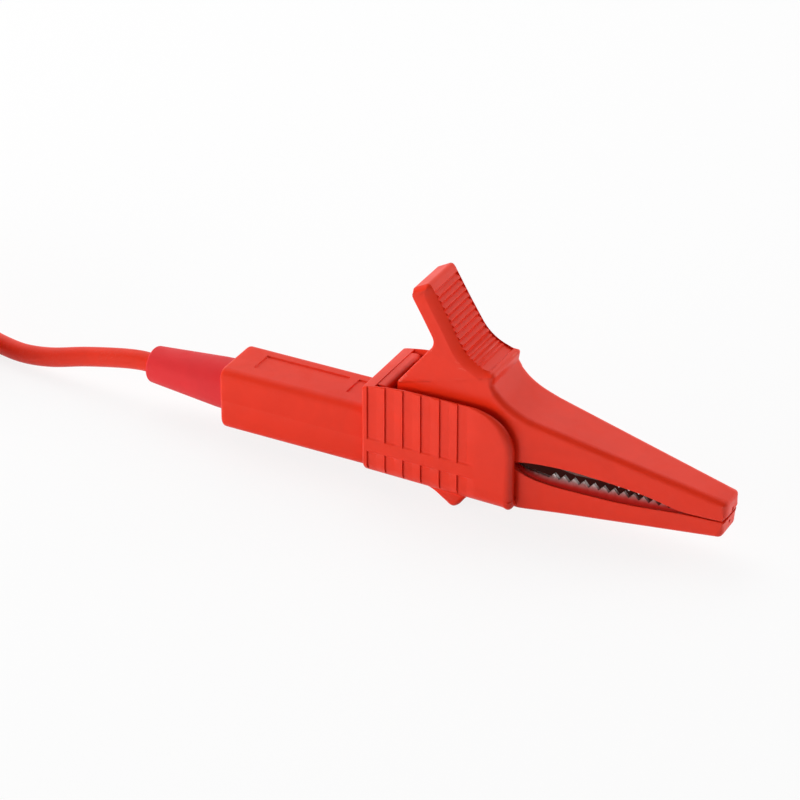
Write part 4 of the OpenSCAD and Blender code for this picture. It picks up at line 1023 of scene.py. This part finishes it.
def spring_lines():
    """Middle of the spring wire: a leg, a helix round the pivot, and a leg up inside the lever."""
    t = np.radians(np.arange(-90, -90 - 360 * COIL_TURNS - 0.1, -7.5))
    y = np.linspace(-COIL_HALF, COIL_HALF, len(t))
    helix = np.stack([PIVOT_X + COIL_R * np.cos(t), y, PIVOT_Z + COIL_R * np.sin(t)], axis=1)
    leg = np.array([(12, -COIL_HALF, 6.05), (18, -COIL_HALF, 6.15), (22, -COIL_HALF, 6.6)])
    return np.concatenate([leg, helix]), np.stack([helix[-1], (14.8, COIL_HALF, 25.4)])


coil_line, leg_line = spring_lines()
for name, line, body in (("spring_coil", coil_line, "clip"), ("spring_leg", fill(leg_line, 12), "jaw")):
    wire = Piece().add(tube(line, WIRE_R, 12, (0, 1.0, 0)), CLIP_AT, caps=True,
                       along=tube_along(line, WIRE_R, 12))
    ride(wire.finish(name, spring_steel), body, "spring_steel", "jaw_spring")


# Stage: pale floor, soft lights, white beyond

FLOOR_HALF, FLOOR_DROP = 3000, 0.03
# Strength of the room in front of the object and of the wall behind it, and where one fades into the other
ROOM, WALL_LIGHT, WALL_FADE = 0.15, 0.78, (-0.05, 0.35)


def white_background(tree, lit, white, surface, share, mirrored=None):
    """Lights the scene with one shader. Camera, glass and mirror rays see the white one instead, by a share;
    mirrored limits where mirror rays see it."""
    path = node(tree, "LightPath").outputs
    glossy = path["Is Glossy Ray"]
    if mirrored is not None:
        glossy = calc(tree, "MULTIPLY", glossy, mirrored)
    seen = calc(tree, "MAXIMUM", glossy, path["Is Transmission Ray"])
    seen = calc(tree, "MAXIMUM", path["Is Camera Ray"], seen)
    mix = node(tree, "MixShader", {0: calc(tree, "MULTIPLY", seen, share), 1: lit, 2: white})
    tree.links.new(mix.outputs[0], surface)


def stage():
    """A pale floor, and a studio with a white wall behind the object and a dim room in front of it."""
    corners = FLOOR_HALF * np.array([[(-1, -1, 0), (1, -1, 0)], [(-1, 1, 0), (1, 1, 0)]])
    material, tree, shader, _ = new_material("floor_white", Base_Color=(0.9, 0.9, 0.9, 1), Roughness=0.6)
    white_background(tree, shader.outputs["BSDF"], node(tree, "Emission").outputs["Emission"],
                     tree.nodes["Material Output"].inputs["Surface"], 0.85)
    floor = Piece().add(corners, (0, 0, -FLOOR_DROP), wrap_columns=False).finish("floor", material)
    world = bpy.data.worlds.new("world")
    bpy.context.scene.world = world
    world.use_nodes = True
    tree = world.node_tree
    toward = node(tree, "SeparateXYZ", {0: node(tree, "TexCoord").outputs["Generated"]}).outputs
    right_more = band(tree, toward["X"], -0.5, -0.2, 0.2, 1.0)
    behind = calc(tree, "MULTIPLY", band(tree, toward["Y"], *WALL_FADE), right_more)
    room = tree.nodes["Background"]
    room.inputs["Color"].default_value = (1, 1, 1, 1)
    tree.links.new(band(tree, toward["Y"], *WALL_FADE, ROOM, WALL_LIGHT), room.inputs["Strength"])
    white_background(tree, room.outputs[0], node(tree, "Background", {"Color": (1, 1, 1, 1)}).outputs[0],
                     tree.nodes["World Output"].inputs["Surface"], 1.0, behind)


def lamp(name, way, away, size, level):
    """A soft lamp in a direction from the object, unseen in mirrors. Its level is the brightness of a white
    face turned to it, where 1 is white."""
    data = bpy.data.lights.new(name, "AREA")
    data.shape, data.size, data.size_y = "RECTANGLE", size[0], size[1]
    data.energy = math.pi ** 2 * away ** 2 * level
    light = bpy.data.objects.new(name, data)
    bpy.context.scene.collection.objects.link(light)
    direction = Vector(way).normalized()
    light.location = Vector((0, 0, 0.015)) + direction * away
    light.rotation_euler = direction.to_track_quat("Z", "Y").to_euler()
    light.visible_glossy = False


stage()
lamp("key", (-0.7, -0.7, 0.1), 0.6, (0.8, 0.25), 1.14)
lamp("top_left", (-0.5, 0.35, 0.75), 0.5, (0.5, 0.4), 0.5)
lamp("right_back", (0.75, 0.55, 0.35), 0.8, (0.5, 0.4), 0.36)
bpy.context.scene.view_settings.view_transform = "Standard"
